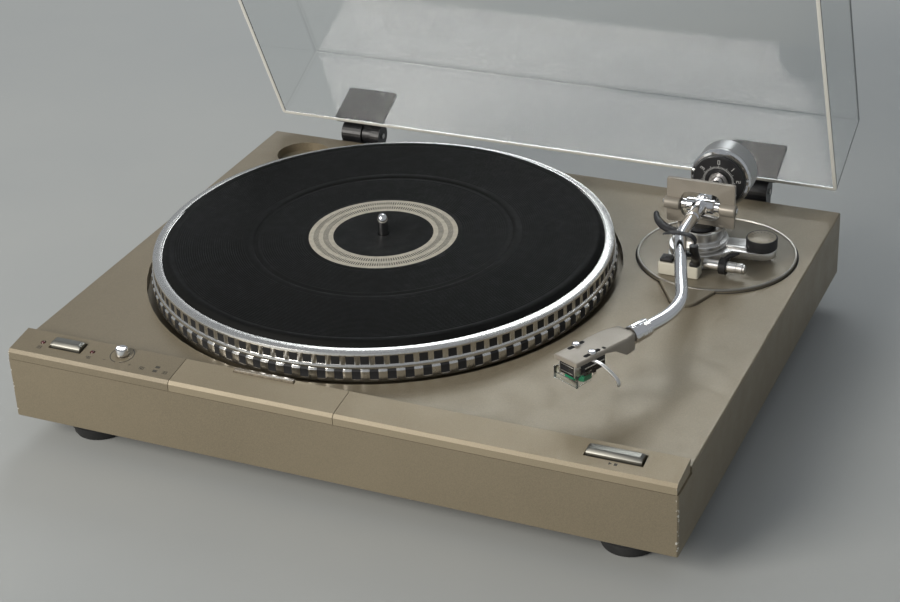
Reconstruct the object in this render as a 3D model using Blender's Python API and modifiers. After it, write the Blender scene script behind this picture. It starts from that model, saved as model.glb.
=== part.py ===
"""Turntable record player with a clear dust cover, modelled as an assembly of separate parts.

Lengths below are written in millimetres in the deck frame: x to the right, y to the rear, z up,
with the plinth's footprint centred on x = y = 0 and its underside at z = 0. The helper at() turns
a point of the deck frame into metres in the model frame, whose origin lies on the ground under
the middle of the whole object with its cover open.
"""

import math

import bmesh
import bpy
from mathutils import Matrix, Vector

MM = 0.001
GAP = 0.3                      # clearance kept between neighbouring pieces

# ---------------------------------------------------------------- plinth
WIDTH = 440.0
DEPTH = 358.6
DECK_TOP = 46.4
WALL = 14.0
DECK_THICK = 12.4
FOOT_HEIGHT = 20.0
FOOT_RADIUS = 19.0
FOOT_X, FOOT_Y = 180.5, 146.5
FRONT_Y = -DEPTH / 2
REAR_Y = DEPTH / 2

# ---------------------------------------------------------------- front control strip
STRIP_HALF = 219.0             # the strip ends 1 mm inside the plinth's sides
STRIP_REAR_Y = -155.7
STRIP_SEAT_Z = 41.8
STRIP_REAR_Z = 51.7
STRIP_FRONT_Z = 48.7
STRIP_BEVEL_Y = -177.4
JOINT_LEFT_X = -103.3
JOINT_RIGHT_X = 8.3
BUTTON_Y = (-169.0, -161.0)
SPEED_BUTTON_X = (-194.0, -172.5)
PLAY_BUTTON_X = (161.8, 195.2)
BUTTON_RISE = 3.2
PITCH_X, PITCH_Y = -144.6, -163.4
LAMP_X = (-201.0, -164.6)
LAMP_Y = -166.0
PRISM_X = (-68.5, -27.5)

# ---------------------------------------------------------------- platter and motor
PLATTER_X, PLATTER_Y = -47.2, 10.4
RECESS_RADIUS = 159.2
RECESS_FLOOR = 38.0
MAT_TOP = 68.4
MAT_RADIUS = 147.0
RIM_RADIUS = 153.6
SPINDLE_TOP = 81.8
SPINDLE_RADIUS = 3.55
ADAPTOR_WELL = (-180.0, 148.0, 19.8, 40.4)   # x, y, radius, floor height

# ---------------------------------------------------------------- tonearm
PIVOT = (149.0, 84.5, 84.8)
ARM_PLATE_X, ARM_PLATE_Y, ARM_PLATE_RADIUS = 158.6, 91.0, 52.9
ARM_PLATE_TOP = 48.2
TUBE_RADIUS = 4.0
COLLAR_END = (160.5, -88.6, 82.4)            # where the headshell meets the locking collar
HEAD_TURN = math.radians(24.3)               # headshell's angle inwards from straight ahead
HEAD_TOP = 87.6
CARTRIDGE_SIDE = -2.4                        # the cartridge's middle, to one side of the tube
SCREW_SIDES = (-8.8, 4.0)
STYLUS_TIP = 70.2
WEIGHT_FRONT_Y, WEIGHT_LENGTH, WEIGHT_RADIUS = 126.4, 20.2, 20.5
DIAL_RADIUS = 17.6

# ---------------------------------------------------------------- dust cover
HINGE_Y, HINGE_Z = 191.5, 48.5
OPEN_ANGLE = math.radians(65.0)
COVER_HALF = 215.6
COVER_REAR_Y = 178.5
COVER_FRONT_Y = -154.0
COVER_BASE, COVER_TOP = 47.0, 113.0
COVER_SHEET = 3.0
COVER_EDGE = 1.6               # chamfer along the cover's outer edges
HINGE_X = (-152.0, 152.0)

# The model frame's origin sits under the middle of the plinth and the open cover taken together.
COVER_REACH = HINGE_Y + (COVER_REAR_Y - COVER_EDGE - HINGE_Y) * math.cos(OPEN_ANGLE) \
    + (COVER_TOP - HINGE_Z) * math.sin(OPEN_ANGLE)
SHIFT_Y = -(FRONT_Y + COVER_REACH) / 2


def at(x, y, z):
    """A deck-frame point in millimetres as a model-frame point in metres."""
    return Vector((x, y + SHIFT_Y, z + FOOT_HEIGHT)) * MM


# ---------------------------------------------------------------- scene, collections, materials
for old in list(bpy.data.objects):
    bpy.data.objects.remove(old, do_unlink=True)

PARTS = bpy.data.collections.new("turntable")
CUTTERS = bpy.data.collections.new("cutters")
bpy.context.scene.collection.children.link(PARTS)
bpy.context.scene.collection.children.link(CUTTERS)
CUTTERS.hide_render = True


def finish_material(name, color, roughness, metallic=0.0, alpha=1.0):
    made = bpy.data.materials.new(name)
    made.use_nodes = True
    shader = made.node_tree.nodes["Principled BSDF"]
    shader.inputs["Base Color"].default_value = (*color, 1.0)
    shader.inputs["Roughness"].default_value = roughness
    shader.inputs["Metallic"].default_value = metallic
    shader.inputs["Alpha"].default_value = alpha
    made.diffuse_color = (*color, alpha)
    return made


CHAMPAGNE = finish_material("champagne_paint", (0.24, 0.21, 0.16), 0.42, 0.55)
STRIP_PAINT = finish_material("strip_paint", (0.34, 0.29, 0.20), 0.40, 0.55)
BLACK_ENAMEL = finish_material("black_enamel", (0.012, 0.012, 0.013), 0.4)
BLACK_PLASTIC = finish_material("black_plastic", (0.012, 0.012, 0.013), 0.5)
BOARD_BROWN = finish_material("pressed_board", (0.12, 0.08, 0.05), 0.8)
RUBBER = finish_material("rubber", (0.018, 0.018, 0.018), 0.8)
CAST_ALUMINIUM = finish_material("cast_aluminium", (0.72, 0.71, 0.69), 0.3, 1.0)
SATIN_SILVER = finish_material("satin_silver", (0.62, 0.61, 0.60), 0.35, 1.0)
CHROME = finish_material("chrome", (0.82, 0.82, 0.83), 0.08, 1.0)
STEEL = finish_material("steel", (0.55, 0.55, 0.55), 0.35, 1.0)
GREY_PAINT = finish_material("grey_paint", (0.30, 0.28, 0.25), 0.45, 0.4)
CLEAR = finish_material("clear_acrylic", (0.9, 0.93, 0.92), 0.05, 0.0, 0.25)
LAMP_RED = finish_material("lamp_red", (0.16, 0.01, 0.01), 0.2)
CREAM = finish_material("cream_plastic", (0.70, 0.67, 0.55), 0.5)
GREEN = finish_material("green_plastic", (0.0, 0.25, 0.12), 0.4)
COPPER = finish_material("copper", (0.55, 0.25, 0.12), 0.4, 1.0)
FERRITE = finish_material("ferrite", (0.04, 0.04, 0.045), 0.6)
BOARD_GREEN = finish_material("circuit_board", (0.05, 0.16, 0.06), 0.6)
BRASS = finish_material("brass", (0.60, 0.45, 0.18), 0.35, 1.0)


# ---------------------------------------------------------------- shape helpers
def place(mesh, name, material, collection=PARTS, smooth=False):
    """Puts a mesh into the scene as one named object with its own material."""
    made = bpy.data.objects.new(name, mesh)
    collection.objects.link(made)
    if material is not None:
        mesh.materials.append(material)
    if smooth:
        mesh.shade_smooth()
        mesh.set_sharp_from_angle(angle=math.radians(35))
    if collection is CUTTERS:
        made.hide_render = True
        made.display_type = "WIRE"
    return made


def mesh_of(build, name):
    """A mesh filled by build(bm), with its normals pointing outwards."""
    work = bmesh.new()
    build(work)
    bmesh.ops.recalc_face_normals(work, faces=work.faces)
    mesh = bpy.data.meshes.new(name)
    work.to_mesh(mesh)
    work.free()
    return mesh


def box(name, low, high, material=None, collection=PARTS, bevel=0.0):
    """A block between two deck-frame corners, with its edges rounded by bevel."""
    low_m, high_m = at(*low), at(*high)
    middle, size = (low_m + high_m) / 2, high_m - low_m

    def build(work):
        bmesh.ops.create_cube(work, size=1.0, matrix=Matrix.Diagonal((*size, 1.0)))

    made = place(mesh_of(build, name), name, material, collection)
    made.location = middle
    if bevel:
        rounding = made.modifiers.new("edges", "BEVEL")
        rounding.width = bevel * MM
        rounding.segments = 1
    return made


def rod(name, start, end, radius, material=None, collection=PARTS, segments=16, end_radius=None):
    """A round bar between two deck-frame points, tapering to end_radius if it is given."""
    first, last = at(*start), at(*end)
    run = last - first

    def build(work):
        bmesh.ops.create_cone(
            work, cap_ends=True, segments=segments, radius1=radius * MM,
            radius2=(radius if end_radius is None else end_radius) * MM, depth=run.length,
        )

    made = place(mesh_of(build, name), name, material, collection, smooth=True)
    made.location = (first + last) / 2
    made.rotation_euler = run.to_track_quat("Z", "Y").to_euler()
    return made


def turned(name, centre, profile, material=None, collection=PARTS, segments=48, ring=False):
    """A turned piece on a vertical axis through centre (x, y).

    profile lists (radius, height) down the outside from top to bottom; a ring's profile goes on
    up its inside and closes on itself.
    """
    mesh = bpy.data.meshes.new(name)
    points = [(radius * MM, 0.0, height * MM) for radius, height in profile]
    edges = [(i, i + 1) for i in range(len(points) - 1)]
    if ring:
        edges.append((len(points) - 1, 0))
    mesh.from_pydata(points, edges, [])
    made = place(mesh, name, material, collection)
    made.location = at(centre[0], centre[1], 0.0)
    screw = made.modifiers.new("turn", "SCREW")
    screw.steps = screw.render_steps = segments
    screw.use_merge_vertices = True
    screw.merge_threshold = 0.00001
    screw.use_smooth_shade = False
    return made


def outline(name, loops, low, high, material=None, collection=PARTS):
    """A flat outline in deck-frame x and y, extruded from height low to height high.

    The first loop is the outside and any others are holes in it.
    """
    curve = bpy.data.curves.new(name, "CURVE")
    curve.dimensions = "2D"
    curve.fill_mode = "BOTH"
    curve.extrude = (high - low) / 2 * MM
    for loop in loops:
        spline = curve.splines.new("POLY")
        spline.points.add(len(loop) - 1)
        spline.use_cyclic_u = True
        for point, (x, y) in zip(spline.points, loop):
            point.co = (x * MM, y * MM, 0.0, 1.0)
    made = bpy.data.objects.new(name, curve)
    collection.objects.link(made)
    if material is not None:
        curve.materials.append(material)
    made.location = at(0.0, 0.0, (low + high) / 2)
    return meshed(made)


def meshed(source):
    """The evaluated shape of an object as a plain mesh object that takes its name and place."""
    bpy.context.view_layer.update()
    graph = bpy.context.evaluated_depsgraph_get()
    mesh = bpy.data.meshes.new_from_object(source.evaluated_get(graph))
    work = bmesh.new()
    work.from_mesh(mesh)
    bmesh.ops.remove_doubles(work, verts=work.verts, dist=0.000002)
    bmesh.ops.recalc_face_normals(work, faces=work.faces)
    work.to_mesh(mesh)
    work.free()
    name, collections = source.name, list(source.users_collection)
    pose, hidden, display = source.matrix_world.copy(), source.hide_render, source.display_type
    bpy.data.objects.remove(source, do_unlink=True)
    made = bpy.data.objects.new(name, mesh)
    for collection in collections:
        collection.objects.link(made)
    made.matrix_world = pose
    made.hide_render = hidden
    made.display_type = display
    return made


def combine(target, others, operation):
    """Cuts the others from target, or joins them to it, and keeps the result as its mesh."""
    for other in others:
        step = target.modifiers.new(operation.lower(), "BOOLEAN")
        step.operation = operation
        step.solver = "EXACT"
        step.object = other
    made = meshed(target)
    for other in others:
        bpy.data.objects.remove(other, do_unlink=True)
    made.data.shade_smooth()
    made.data.set_sharp_from_angle(angle=math.radians(35))
    return made


def cut(target, others):
    return combine(target, others, "DIFFERENCE")


def join(target, others):
    return combine(target, others, "UNION")


def arc(centre, radius, start, end, count):
    """Points along an arc in plan, from start to end in degrees."""
    steps = (math.radians(start + (end - start) * i / (count - 1)) for i in range(count))
    return [(centre[0] + radius * math.cos(a), centre[1] + radius * math.sin(a)) for a in steps]


def tube(name, path, radius, material, sides=2, collection=PARTS):
    """A round tube along deck-frame points, as a curve with a bevel and filled caps."""
    curve = bpy.data.curves.new(name, "CURVE")
    curve.dimensions = "3D"
    curve.bevel_depth = radius * MM
    curve.bevel_resolution = sides
    curve.use_fill_caps = True
    spline = curve.splines.new("POLY")
    spline.points.add(len(path) - 1)
    for point, place_mm in zip(spline.points, path):
        point.co = (*at(*place_mm), 1.0)
    made = bpy.data.objects.new(name, curve)
    collection.objects.link(made)
    if material is not None:
        curve.materials.append(material)
    return meshed(made)


# ---------------------------------------------------------------- plinth, feet and fixed parts
def strip_profile(x_low, x_high, name, material, grow=0.0, collection=PARTS):
    """One wedge-shaped length of the control strip: higher at the rear, with a front bevel."""
    floor = STRIP_SEAT_Z + GAP - grow
    section = [
        (STRIP_REAR_Y + grow, floor), (STRIP_REAR_Y + grow, STRIP_REAR_Z + grow),
        (STRIP_BEVEL_Y, STRIP_FRONT_Z + grow), (FRONT_Y - grow, STRIP_FRONT_Z - 1.9),
        (FRONT_Y - grow, floor),
    ]

    def build(work):
        near = [work.verts.new(at(x_low, y, z)) for y, z in section]
        far = [work.verts.new(at(x_high, y, z)) for y, z in section]
        work.faces.new(near)
        work.faces.new(list(reversed(far)))
        for i in range(len(section)):
            j = (i + 1) % len(section)
            work.faces.new((near[j], near[i], far[i], far[j]))

    return place(mesh_of(build, name), name, material, collection)


def strip_height(y):
    """The strip's top surface over a given y."""
    share = (y - STRIP_BEVEL_Y) / (STRIP_REAR_Y - STRIP_BEVEL_Y)
    return STRIP_FRONT_Z + share * (STRIP_REAR_Z - STRIP_FRONT_Z)


def tongue_outline(radius_gap):
    """The arm plate's outline: a circle with a rounded tongue towards the front left."""
    centre = (ARM_PLATE_X, ARM_PLATE_Y)
    circle = arc(centre, ARM_PLATE_RADIUS + radius_gap, -74, 242, 41)
    tongue = arc((157.0, 26.0), 10.0 + radius_gap, 198, 342, 10)
    return circle + tongue


def make_cabinet():
    """The plinth: a box open below, with the platter recess, arm opening and adaptor well."""
    body = box("cabinet", (-WIDTH / 2, FRONT_Y, 0), (WIDTH / 2, REAR_Y, DECK_TOP), CHAMPAGNE,
               bevel=0.8)
    top = DECK_TOP + 8
    cavity_top = DECK_TOP - DECK_THICK
    cavity = box("cavity", (-WIDTH / 2 + WALL, FRONT_Y + WALL, -5),
                 (WIDTH / 2 - WALL, REAR_Y - WALL, cavity_top), collection=CUTTERS)
    recess = rod("recess", (PLATTER_X, PLATTER_Y, RECESS_FLOOR), (PLATTER_X, PLATTER_Y, top),
                 RECESS_RADIUS, collection=CUTTERS, segments=64)
    motor_hole = rod("motor_hole", (PLATTER_X, PLATTER_Y, 20), (PLATTER_X, PLATTER_Y, top), 62.0,
                     collection=CUTTERS, segments=40)
    arm_recess = outline("arm_recess", [tongue_outline(0.9)], 44.0, top, collection=CUTTERS)
    arm_hole = rod("arm_hole", (ARM_PLATE_X, ARM_PLATE_Y, 20), (ARM_PLATE_X, ARM_PLATE_Y, top),
                   42.0, collection=CUTTERS, segments=40)
    well_x, well_y, well_radius, well_floor = ADAPTOR_WELL
    well = rod("well", (well_x, well_y, well_floor), (well_x, well_y, top), well_radius,
               collection=CUTTERS, segments=40)
    rebate = box("rebate", (-WIDTH / 2 - 5, FRONT_Y - 5, STRIP_SEAT_Z),
                 (WIDTH / 2 + 5, STRIP_REAR_Y + GAP, top), collection=CUTTERS)
    strip_pocket = box("strip_pocket", (-205, -174.0, 24.0), (205, -158.0, top), collection=CUTTERS)
    rear_holes = [
        box("mains_hole", (-120, REAR_Y - 25, 16), (-104, REAR_Y + 5, 30), collection=CUTTERS),
        box("signal_hole", (40, REAR_Y - 25, 14), (74, REAR_Y + 5, 30), collection=CUTTERS),
        rod("ground_hole", (92, REAR_Y - 25, 22), (92, REAR_Y + 5, 22), 3.4, collection=CUTTERS),
    ]
    return cut(body, [cavity, recess, motor_hole, arm_recess, arm_hole, well, rebate,
                      strip_pocket, *rear_holes])


def make_bottom_and_feet():
    low_x, high_x = -WIDTH / 2 + WALL + GAP, WIDTH / 2 - WALL - GAP
    low_y, high_y = FRONT_Y + WALL + GAP, REAR_Y - WALL - GAP
    box("bottom_cover", (low_x, low_y, 0.0), (high_x, high_y, 3.0), BOARD_BROWN)
    for name, side_x, side_y in (
        ("foot_front_left", -1, -1), ("foot_front_right", 1, -1),
        ("foot_rear_left", -1, 1), ("foot_rear_right", 1, 1),
    ):
        turned(name, (side_x * FOOT_X, side_y * FOOT_Y), [
            (0, -GAP), (FOOT_RADIUS - 1, -GAP), (FOOT_RADIUS, -2), (FOOT_RADIUS, -13),
            (FOOT_RADIUS - 1.5, -14), (FOOT_RADIUS - 1.5, -18), (FOOT_RADIUS - 3, -FOOT_HEIGHT),
            (0, -FOOT_HEIGHT),
        ], RUBBER, segments=32)


def make_control_strip():
    """The three lengths of the strip, with slots for the buttons, the knob and the lamps."""
    left = strip_profile(-STRIP_HALF, JOINT_LEFT_X - 0.2, "control_panel_left", STRIP_PAINT)
    centre = strip_profile(JOINT_LEFT_X + 0.2, JOINT_RIGHT_X - 0.2, "control_panel_centre",
                           STRIP_PAINT)
    right = strip_profile(JOINT_RIGHT_X + 0.2, STRIP_HALF, "control_panel_right", STRIP_PAINT)
    y_low, y_high = BUTTON_Y
    left_slot = box("speed_slot", (SPEED_BUTTON_X[0] - 1, y_low - 1, 30),
                    (SPEED_BUTTON_X[1] + 1, y_high + 1, 60), collection=CUTTERS)
    pitch_hole = rod("pitch_hole", (PITCH_X, PITCH_Y, 30), (PITCH_X, PITCH_Y, 60), 3.4,
                     collection=CUTTERS)
    lamp_holes = [rod(f"lamp_hole_{i}", (x, LAMP_Y, 30), (x, LAMP_Y, 60), 1.8,
                      collection=CUTTERS, segments=16) for i, x in enumerate(LAMP_X)]
    cut(left, [left_slot, pitch_hole, *lamp_holes])
    prism_notch = box("prism_notch", (PRISM_X[0] - GAP, -159.2, 44), (PRISM_X[1] + GAP, -150, 60),
                      collection=CUTTERS)
    cut(centre, [prism_notch])
    right_slot = box("play_slot", (PLAY_BUTTON_X[0] - 1, y_low - 1, 30),
                     (PLAY_BUTTON_X[1] + 1, y_high + 1, 60), collection=CUTTERS)
    cut(right, [right_slot])
    box("strobe_prism", (PRISM_X[0], -158.9, 44.4), (PRISM_X[1], -155.7, STRIP_REAR_Z + 1.2),
        CLEAR, bevel=0.4)
    rod("strobe_lamp", (-62, -165.5, 34), (-34, -165.5, 34), 3.0, LAMP_RED)
    for name, x in zip(("speed_lamp_33", "speed_lamp_45"), LAMP_X):
        turned(name, (x, LAMP_Y), [(0, strip_height(LAMP_Y) + 0.5), (1.0, strip_height(LAMP_Y) + 0.4),
                                   (1.5, strip_height(LAMP_Y) - 0.3), (1.5, 36), (0, 36)],
               LAMP_RED, segments=16)


def make_motor():
    """The direct-drive motor's fixed half, hung from a plate under the deck."""
    turned("motor_plate", (PLATTER_X, PLATTER_Y), [
        (66, DECK_TOP - DECK_THICK - GAP), (66, 31.0), (6.5, 31.0),
        (6.5, DECK_TOP - DECK_THICK - GAP)], STEEL, segments=40, ring=True)
    turned("motor_stator", (PLATTER_X, PLATTER_Y), [
        (28, 43.0), (28, 34.2), (8.5, 34.2), (8.5, 43.0)], COPPER, segments=32, ring=True)
    turned("spindle_bearing", (PLATTER_X, PLATTER_Y), [
        (7.6, 44.5), (7.6, 34.3), (6.2, 34.0), (6.2, 9.0), (0, 9.0), (0, 11.0), (3.62, 11.0),
        (3.62, 44.5)], BRASS, segments=32, ring=True)


def make_electrics():
    """Boards, transformer and the ways in and out at the rear."""
    box("servo_board", (-200, -110, 24), (-125, -30, 25.6), BOARD_GREEN)
    box("power_transformer", (-196, 70, 3.4), (-150, 116, 33), FERRITE, bevel=2.0)
    gland = rod("mains_gland", (-112, REAR_Y - 20, 23), (-112, REAR_Y + 7, 23), 5.6, BLACK_PLASTIC)
    flange = box("gland_flange", (-121, REAR_Y + GAP, 14), (-103, REAR_Y + 2.4, 32),
                 collection=CUTTERS)
    bore = rod("gland_bore", (-112, REAR_Y - 30, 23), (-112, REAR_Y + 30, 23), 3.4,
               collection=CUTTERS)
    cut(join(gland, [flange]), [bore])
    signal = box("signal_sockets", (40.5, REAR_Y - 8, 14.5), (73.5, REAR_Y - 0.5, 29.5),
                 BLACK_PLASTIC)
    sockets = [rod(f"socket_{i}", (x, REAR_Y - 12, 22), (x, REAR_Y + 6, 22), 4.6,
                   collection=CUTTERS) for i, x in enumerate((49, 65))]
    holes = [rod(f"socket_hole_{i}", (x, REAR_Y - 15, 22), (x, REAR_Y + 12, 22), 1.6,
                 collection=CUTTERS, segments=12) for i, x in enumerate((49, 65))]
    cut(join(signal, sockets), holes)
    post = rod("ground_terminal", (92, REAR_Y - 12, 22), (92, REAR_Y + 9, 22), 3.0, STEEL)
    head = rod("ground_head", (92, REAR_Y + 2, 22), (92, REAR_Y + 8, 22), 5.2, collection=CUTTERS,
               segments=16)
    join(post, [head])


# ---------------------------------------------------------------- platter
def make_platter():
    """Cast platter, mat, spindle and the motor's magnet, all turned on one axis."""
    centre = (PLATTER_X, PLATTER_Y)
    platter = turned("platter", centre, [
        (MAT_RADIUS + 0.5, 65.4), (RIM_RADIUS - 1.2, 65.0), (RIM_RADIUS, 64.0),
        (RIM_RADIUS, 56.2), (RIM_RADIUS + 0.8, 55.6), (RIM_RADIUS + 0.8, 54.2),
        (RIM_RADIUS + 1.8, 53.0), (RIM_RADIUS + 1.8, 47.0), (RIM_RADIUS + 1.4, 45.4),
        (149.0, 45.4), (149.0, 59.0), (62.0, 59.0), (62.0, 48.5), (52.0, 48.5), (52.0, 58.0),
        (10.0, 58.0), (10.0, 48.0), (SPINDLE_RADIUS + GAP, 48.0), (SPINDLE_RADIUS + GAP, 64.4),
        (MAT_RADIUS + 0.5, 64.4)], CAST_ALUMINIUM, segments=64, ring=True)
    turned("platter_mat", centre, [
        (88.0, MAT_TOP), (143.4, MAT_TOP), (MAT_RADIUS, 64.7), (SPINDLE_RADIUS + GAP, 64.7),
        (SPINDLE_RADIUS + GAP, MAT_TOP), (52.0, MAT_TOP), (52.4, MAT_TOP - 0.5),
        (86.0, MAT_TOP - 1.1)], RUBBER, segments=64, ring=True)
    turned("spindle", centre, [
        (0, SPINDLE_TOP), (1.8, SPINDLE_TOP - 0.6), (3.2, SPINDLE_TOP - 2.2),
        (SPINDLE_RADIUS, SPINDLE_TOP - 4.0), (SPINDLE_RADIUS, 11.6), (2.0, 11.2), (0, 11.2)],
        CHROME, segments=32)
    turned("rotor_magnet", centre, [
        (51.0, 57.6), (51.0, 47.0), (34.0, 47.0), (34.0, 57.6)], FERRITE, segments=40, ring=True)
    return platter


# ---------------------------------------------------------------- tonearm base
def make_arm_base():
    plate = outline("arm_base_plate", [tongue_outline(0.0)], 44.3, ARM_PLATE_TOP, GREY_PAINT)
    bore = rod("plate_bore", (PIVOT[0], PIVOT[1], 30), (PIVOT[0], PIVOT[1], 60), 6.0,
               collection=CUTTERS)
    lift_bore = rod("lift_bore", (137.5, 58, 30), (137.5, 58, 60), 2.4, collection=CUTTERS,
                    segments=16)
    cut(plate, [bore, lift_bore])
    turned("arm_pillar", PIVOT[:2], [
        (13.2, 71.0), (15.6, 71.0), (15.6, 64.6), (14.4, 64.0), (14.4, 63.2), (18.4, 62.6),
        (18.4, 59.4), (15.2, 58.8), (15.2, 51.4), (21.0, 50.6), (21.0, ARM_PLATE_TOP + GAP),
        (5.0, ARM_PLATE_TOP + GAP), (5.0, 66.0), (13.2, 66.0)], SATIN_SILVER, segments=32,
        ring=True)
    knob_end = arc((189.0, 90.4), 9.8, -80, 80, 9)
    lug = outline("anti_skate_lug", [
        arc(PIVOT[:2], 20.5, 32, 300, 25) + [(166.0, 74.6)] + knob_end,
        list(reversed(arc(PIVOT[:2], 15.5, 0, 350, 36)))], 52.6, 57.6, SATIN_SILVER)
    pin = rod("lug_pin", (189, 90.4, 55), (189, 90.4, 61.0), 2.0, collection=CUTTERS, segments=12)
    join(lug, [pin])
    rod("cue_barrel", (158.8, 61.0, 55.6), (186.6, 61.0, 55.6), 3.5, SATIN_SILVER)


def make_arm_rest():
    """The cream block on the arm plate and the black cradle that it carries."""
    block = box("rest_block", (131.0, 50.0, ARM_PLATE_TOP + GAP), (158.2, 60.0, 57.2), CREAM,
                bevel=0.8)
    bore = rod("block_bore", (137.5, 58, 40), (137.5, 58, 70), 2.4, collection=CUTTERS, segments=16)
    cut(block, [bore])
    foot = box("arm_cradle", (153.4, 49.0, 57.5), (158.2, 58.0, 62.0), BLACK_PLASTIC)
    post = tube("cradle_post", [(155.8, 54.0, 60.0), (158.4, 44.0, 69.0), (161.4, 33.0, 74.0),
                                (161.4, 30.0, 79.0), (161.4, 30.0, 84.0)], 2.4, None,
                collection=CUTTERS)
    saddle = box("cradle_saddle", (147.0, 26.5, 76.0), (162.6, 33.5, 79.5), collection=CUTTERS)
    join(foot, [post, saddle])


# ---------------------------------------------------------------- tonearm
def make_yoke():
    """The turning yoke: a windowed plate with two bearing barrels, on a shaft in the pillar."""
    x, y, z = PIVOT
    plate = box("gimbal_plate", (x - 23, y - 1.5, 71.4), (x + 23, y + 1.5, 102.4), GREY_PAINT)
    window = outline("window", [
        arc((x + 7.5, z + 3.8), 5.7, -5, 95, 6) + arc((x - 7.5, z + 3.8), 5.7, 85, 185, 6)
        + arc((x - 7.5, z - 3.8), 5.7, 175, 275, 6) + arc((x + 7.5, z - 3.8), 5.7, 265, 365, 6)],
        -6, 6, collection=CUTTERS)
    window.matrix_world = Matrix.Translation(at(0, y, 0)) @ Matrix.Rotation(math.pi / 2, 4, "X")
    foot = rod("yoke_foot", (x, y, 66.4), (x, y, 72.6), 12.0, collection=CUTTERS, segments=28)
    barrels = []
    for side in (-1, 1):
        barrels.append(rod(f"barrel_{side}", (x + side * 13.6, y - 1.6, z),
                           (x + side * 24.2, y - 1.6, z), 4.2, collection=CUTTERS))
    body = join(cut(plate, [window]), [foot, *barrels])
    sockets = [rod(f"pivot_socket_{side}", (x + side * 10, y, z), (x + side * 19.5, y, z), 1.3,
                   collection=CUTTERS, segments=12) for side in (-1, 1)]
    cut(body, sockets)
    rod("yoke_shaft", (x, y, 22.0), (x, y, 66.1), 4.0, STEEL)


def on_arm(x, y):
    """A point on the tube's middle line: it falls a little from the pivot to the collar."""
    share = min((PIVOT[1] - y) / (PIVOT[1] + 70.0), 1.0)
    return (x, y, PIVOT[2] + share * (COLLAR_END[2] - PIVOT[2]))


def head_xy(ahead, side):
    """Plan position of a headshell point, ahead of the collar's end and to one side of it."""
    return (COLLAR_END[0] - math.sin(HEAD_TURN) * ahead + math.cos(HEAD_TURN) * side,
            COLLAR_END[1] - math.cos(HEAD_TURN) * ahead - math.sin(HEAD_TURN) * side)


def head_prism(name, plan, low, high, material=None, collection=PARTS):
    """An upright prism whose plan is given in headshell coordinates."""
    return outline(name, [[head_xy(*p) for p in plan]], low, high, material, collection)


def head_rod(name, start, end, radius, material=None, collection=PARTS, segments=16,
             end_radius=None):
    """A round bar between two headshell points (ahead, side, height)."""
    first, last = (*head_xy(*start[:2]), start[2]), (*head_xy(*end[:2]), end[2])
    return rod(name, first, last, radius, material, collection, segments, end_radius)


def make_arm_tube():
    """The S-shaped tube with its hub and pivot points, and the shaft for the counterweight."""
    x, y, z = PIVOT
    plan = [(x, y + 8), (x, 66), (149.2, 46), (149.8, 40), (151.2, 34), (153.2, 28),
            (169.4, -20.5), (172.2, -28.6), (174.5, -36.8), (175.2, -44.0), (174.6, -51.7),
            (172.9, -59.9), (170.4, -66.9), head_xy(-15, 0), head_xy(-2, 0)]
    arm = tube("arm_tube", [on_arm(*p) for p in plan], TUBE_RADIUS, CHROME)
    hub = rod("arm_hub", (x - 9.5, y, z), (x + 9.5, y, z), 4.7, collection=CUTTERS, segments=24)
    points = [rod(f"pivot_point_{side}", (x + side * 8, y, z), (x + side * 18.6, y, z), 0.9,
                  collection=CUTTERS, segments=12) for side in (-1, 1)]
    join(arm, [hub, *points])
    rod("balance_shaft", (x, y + 8.3, z), (x, 149.0, z), 3.6, CHROME)
    collar = head_rod("locking_collar", (-14, 0, z - 2.4), (-0.2, 0, z - 2.4), 5.7, SATIN_SILVER,
                      segments=24)
    bore = head_rod("collar_bore", (-20, 0, z - 2.4), (5, 0, z - 2.4), 4.35, collection=CUTTERS,
                    segments=24)
    cut(collar, [bore])


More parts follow.
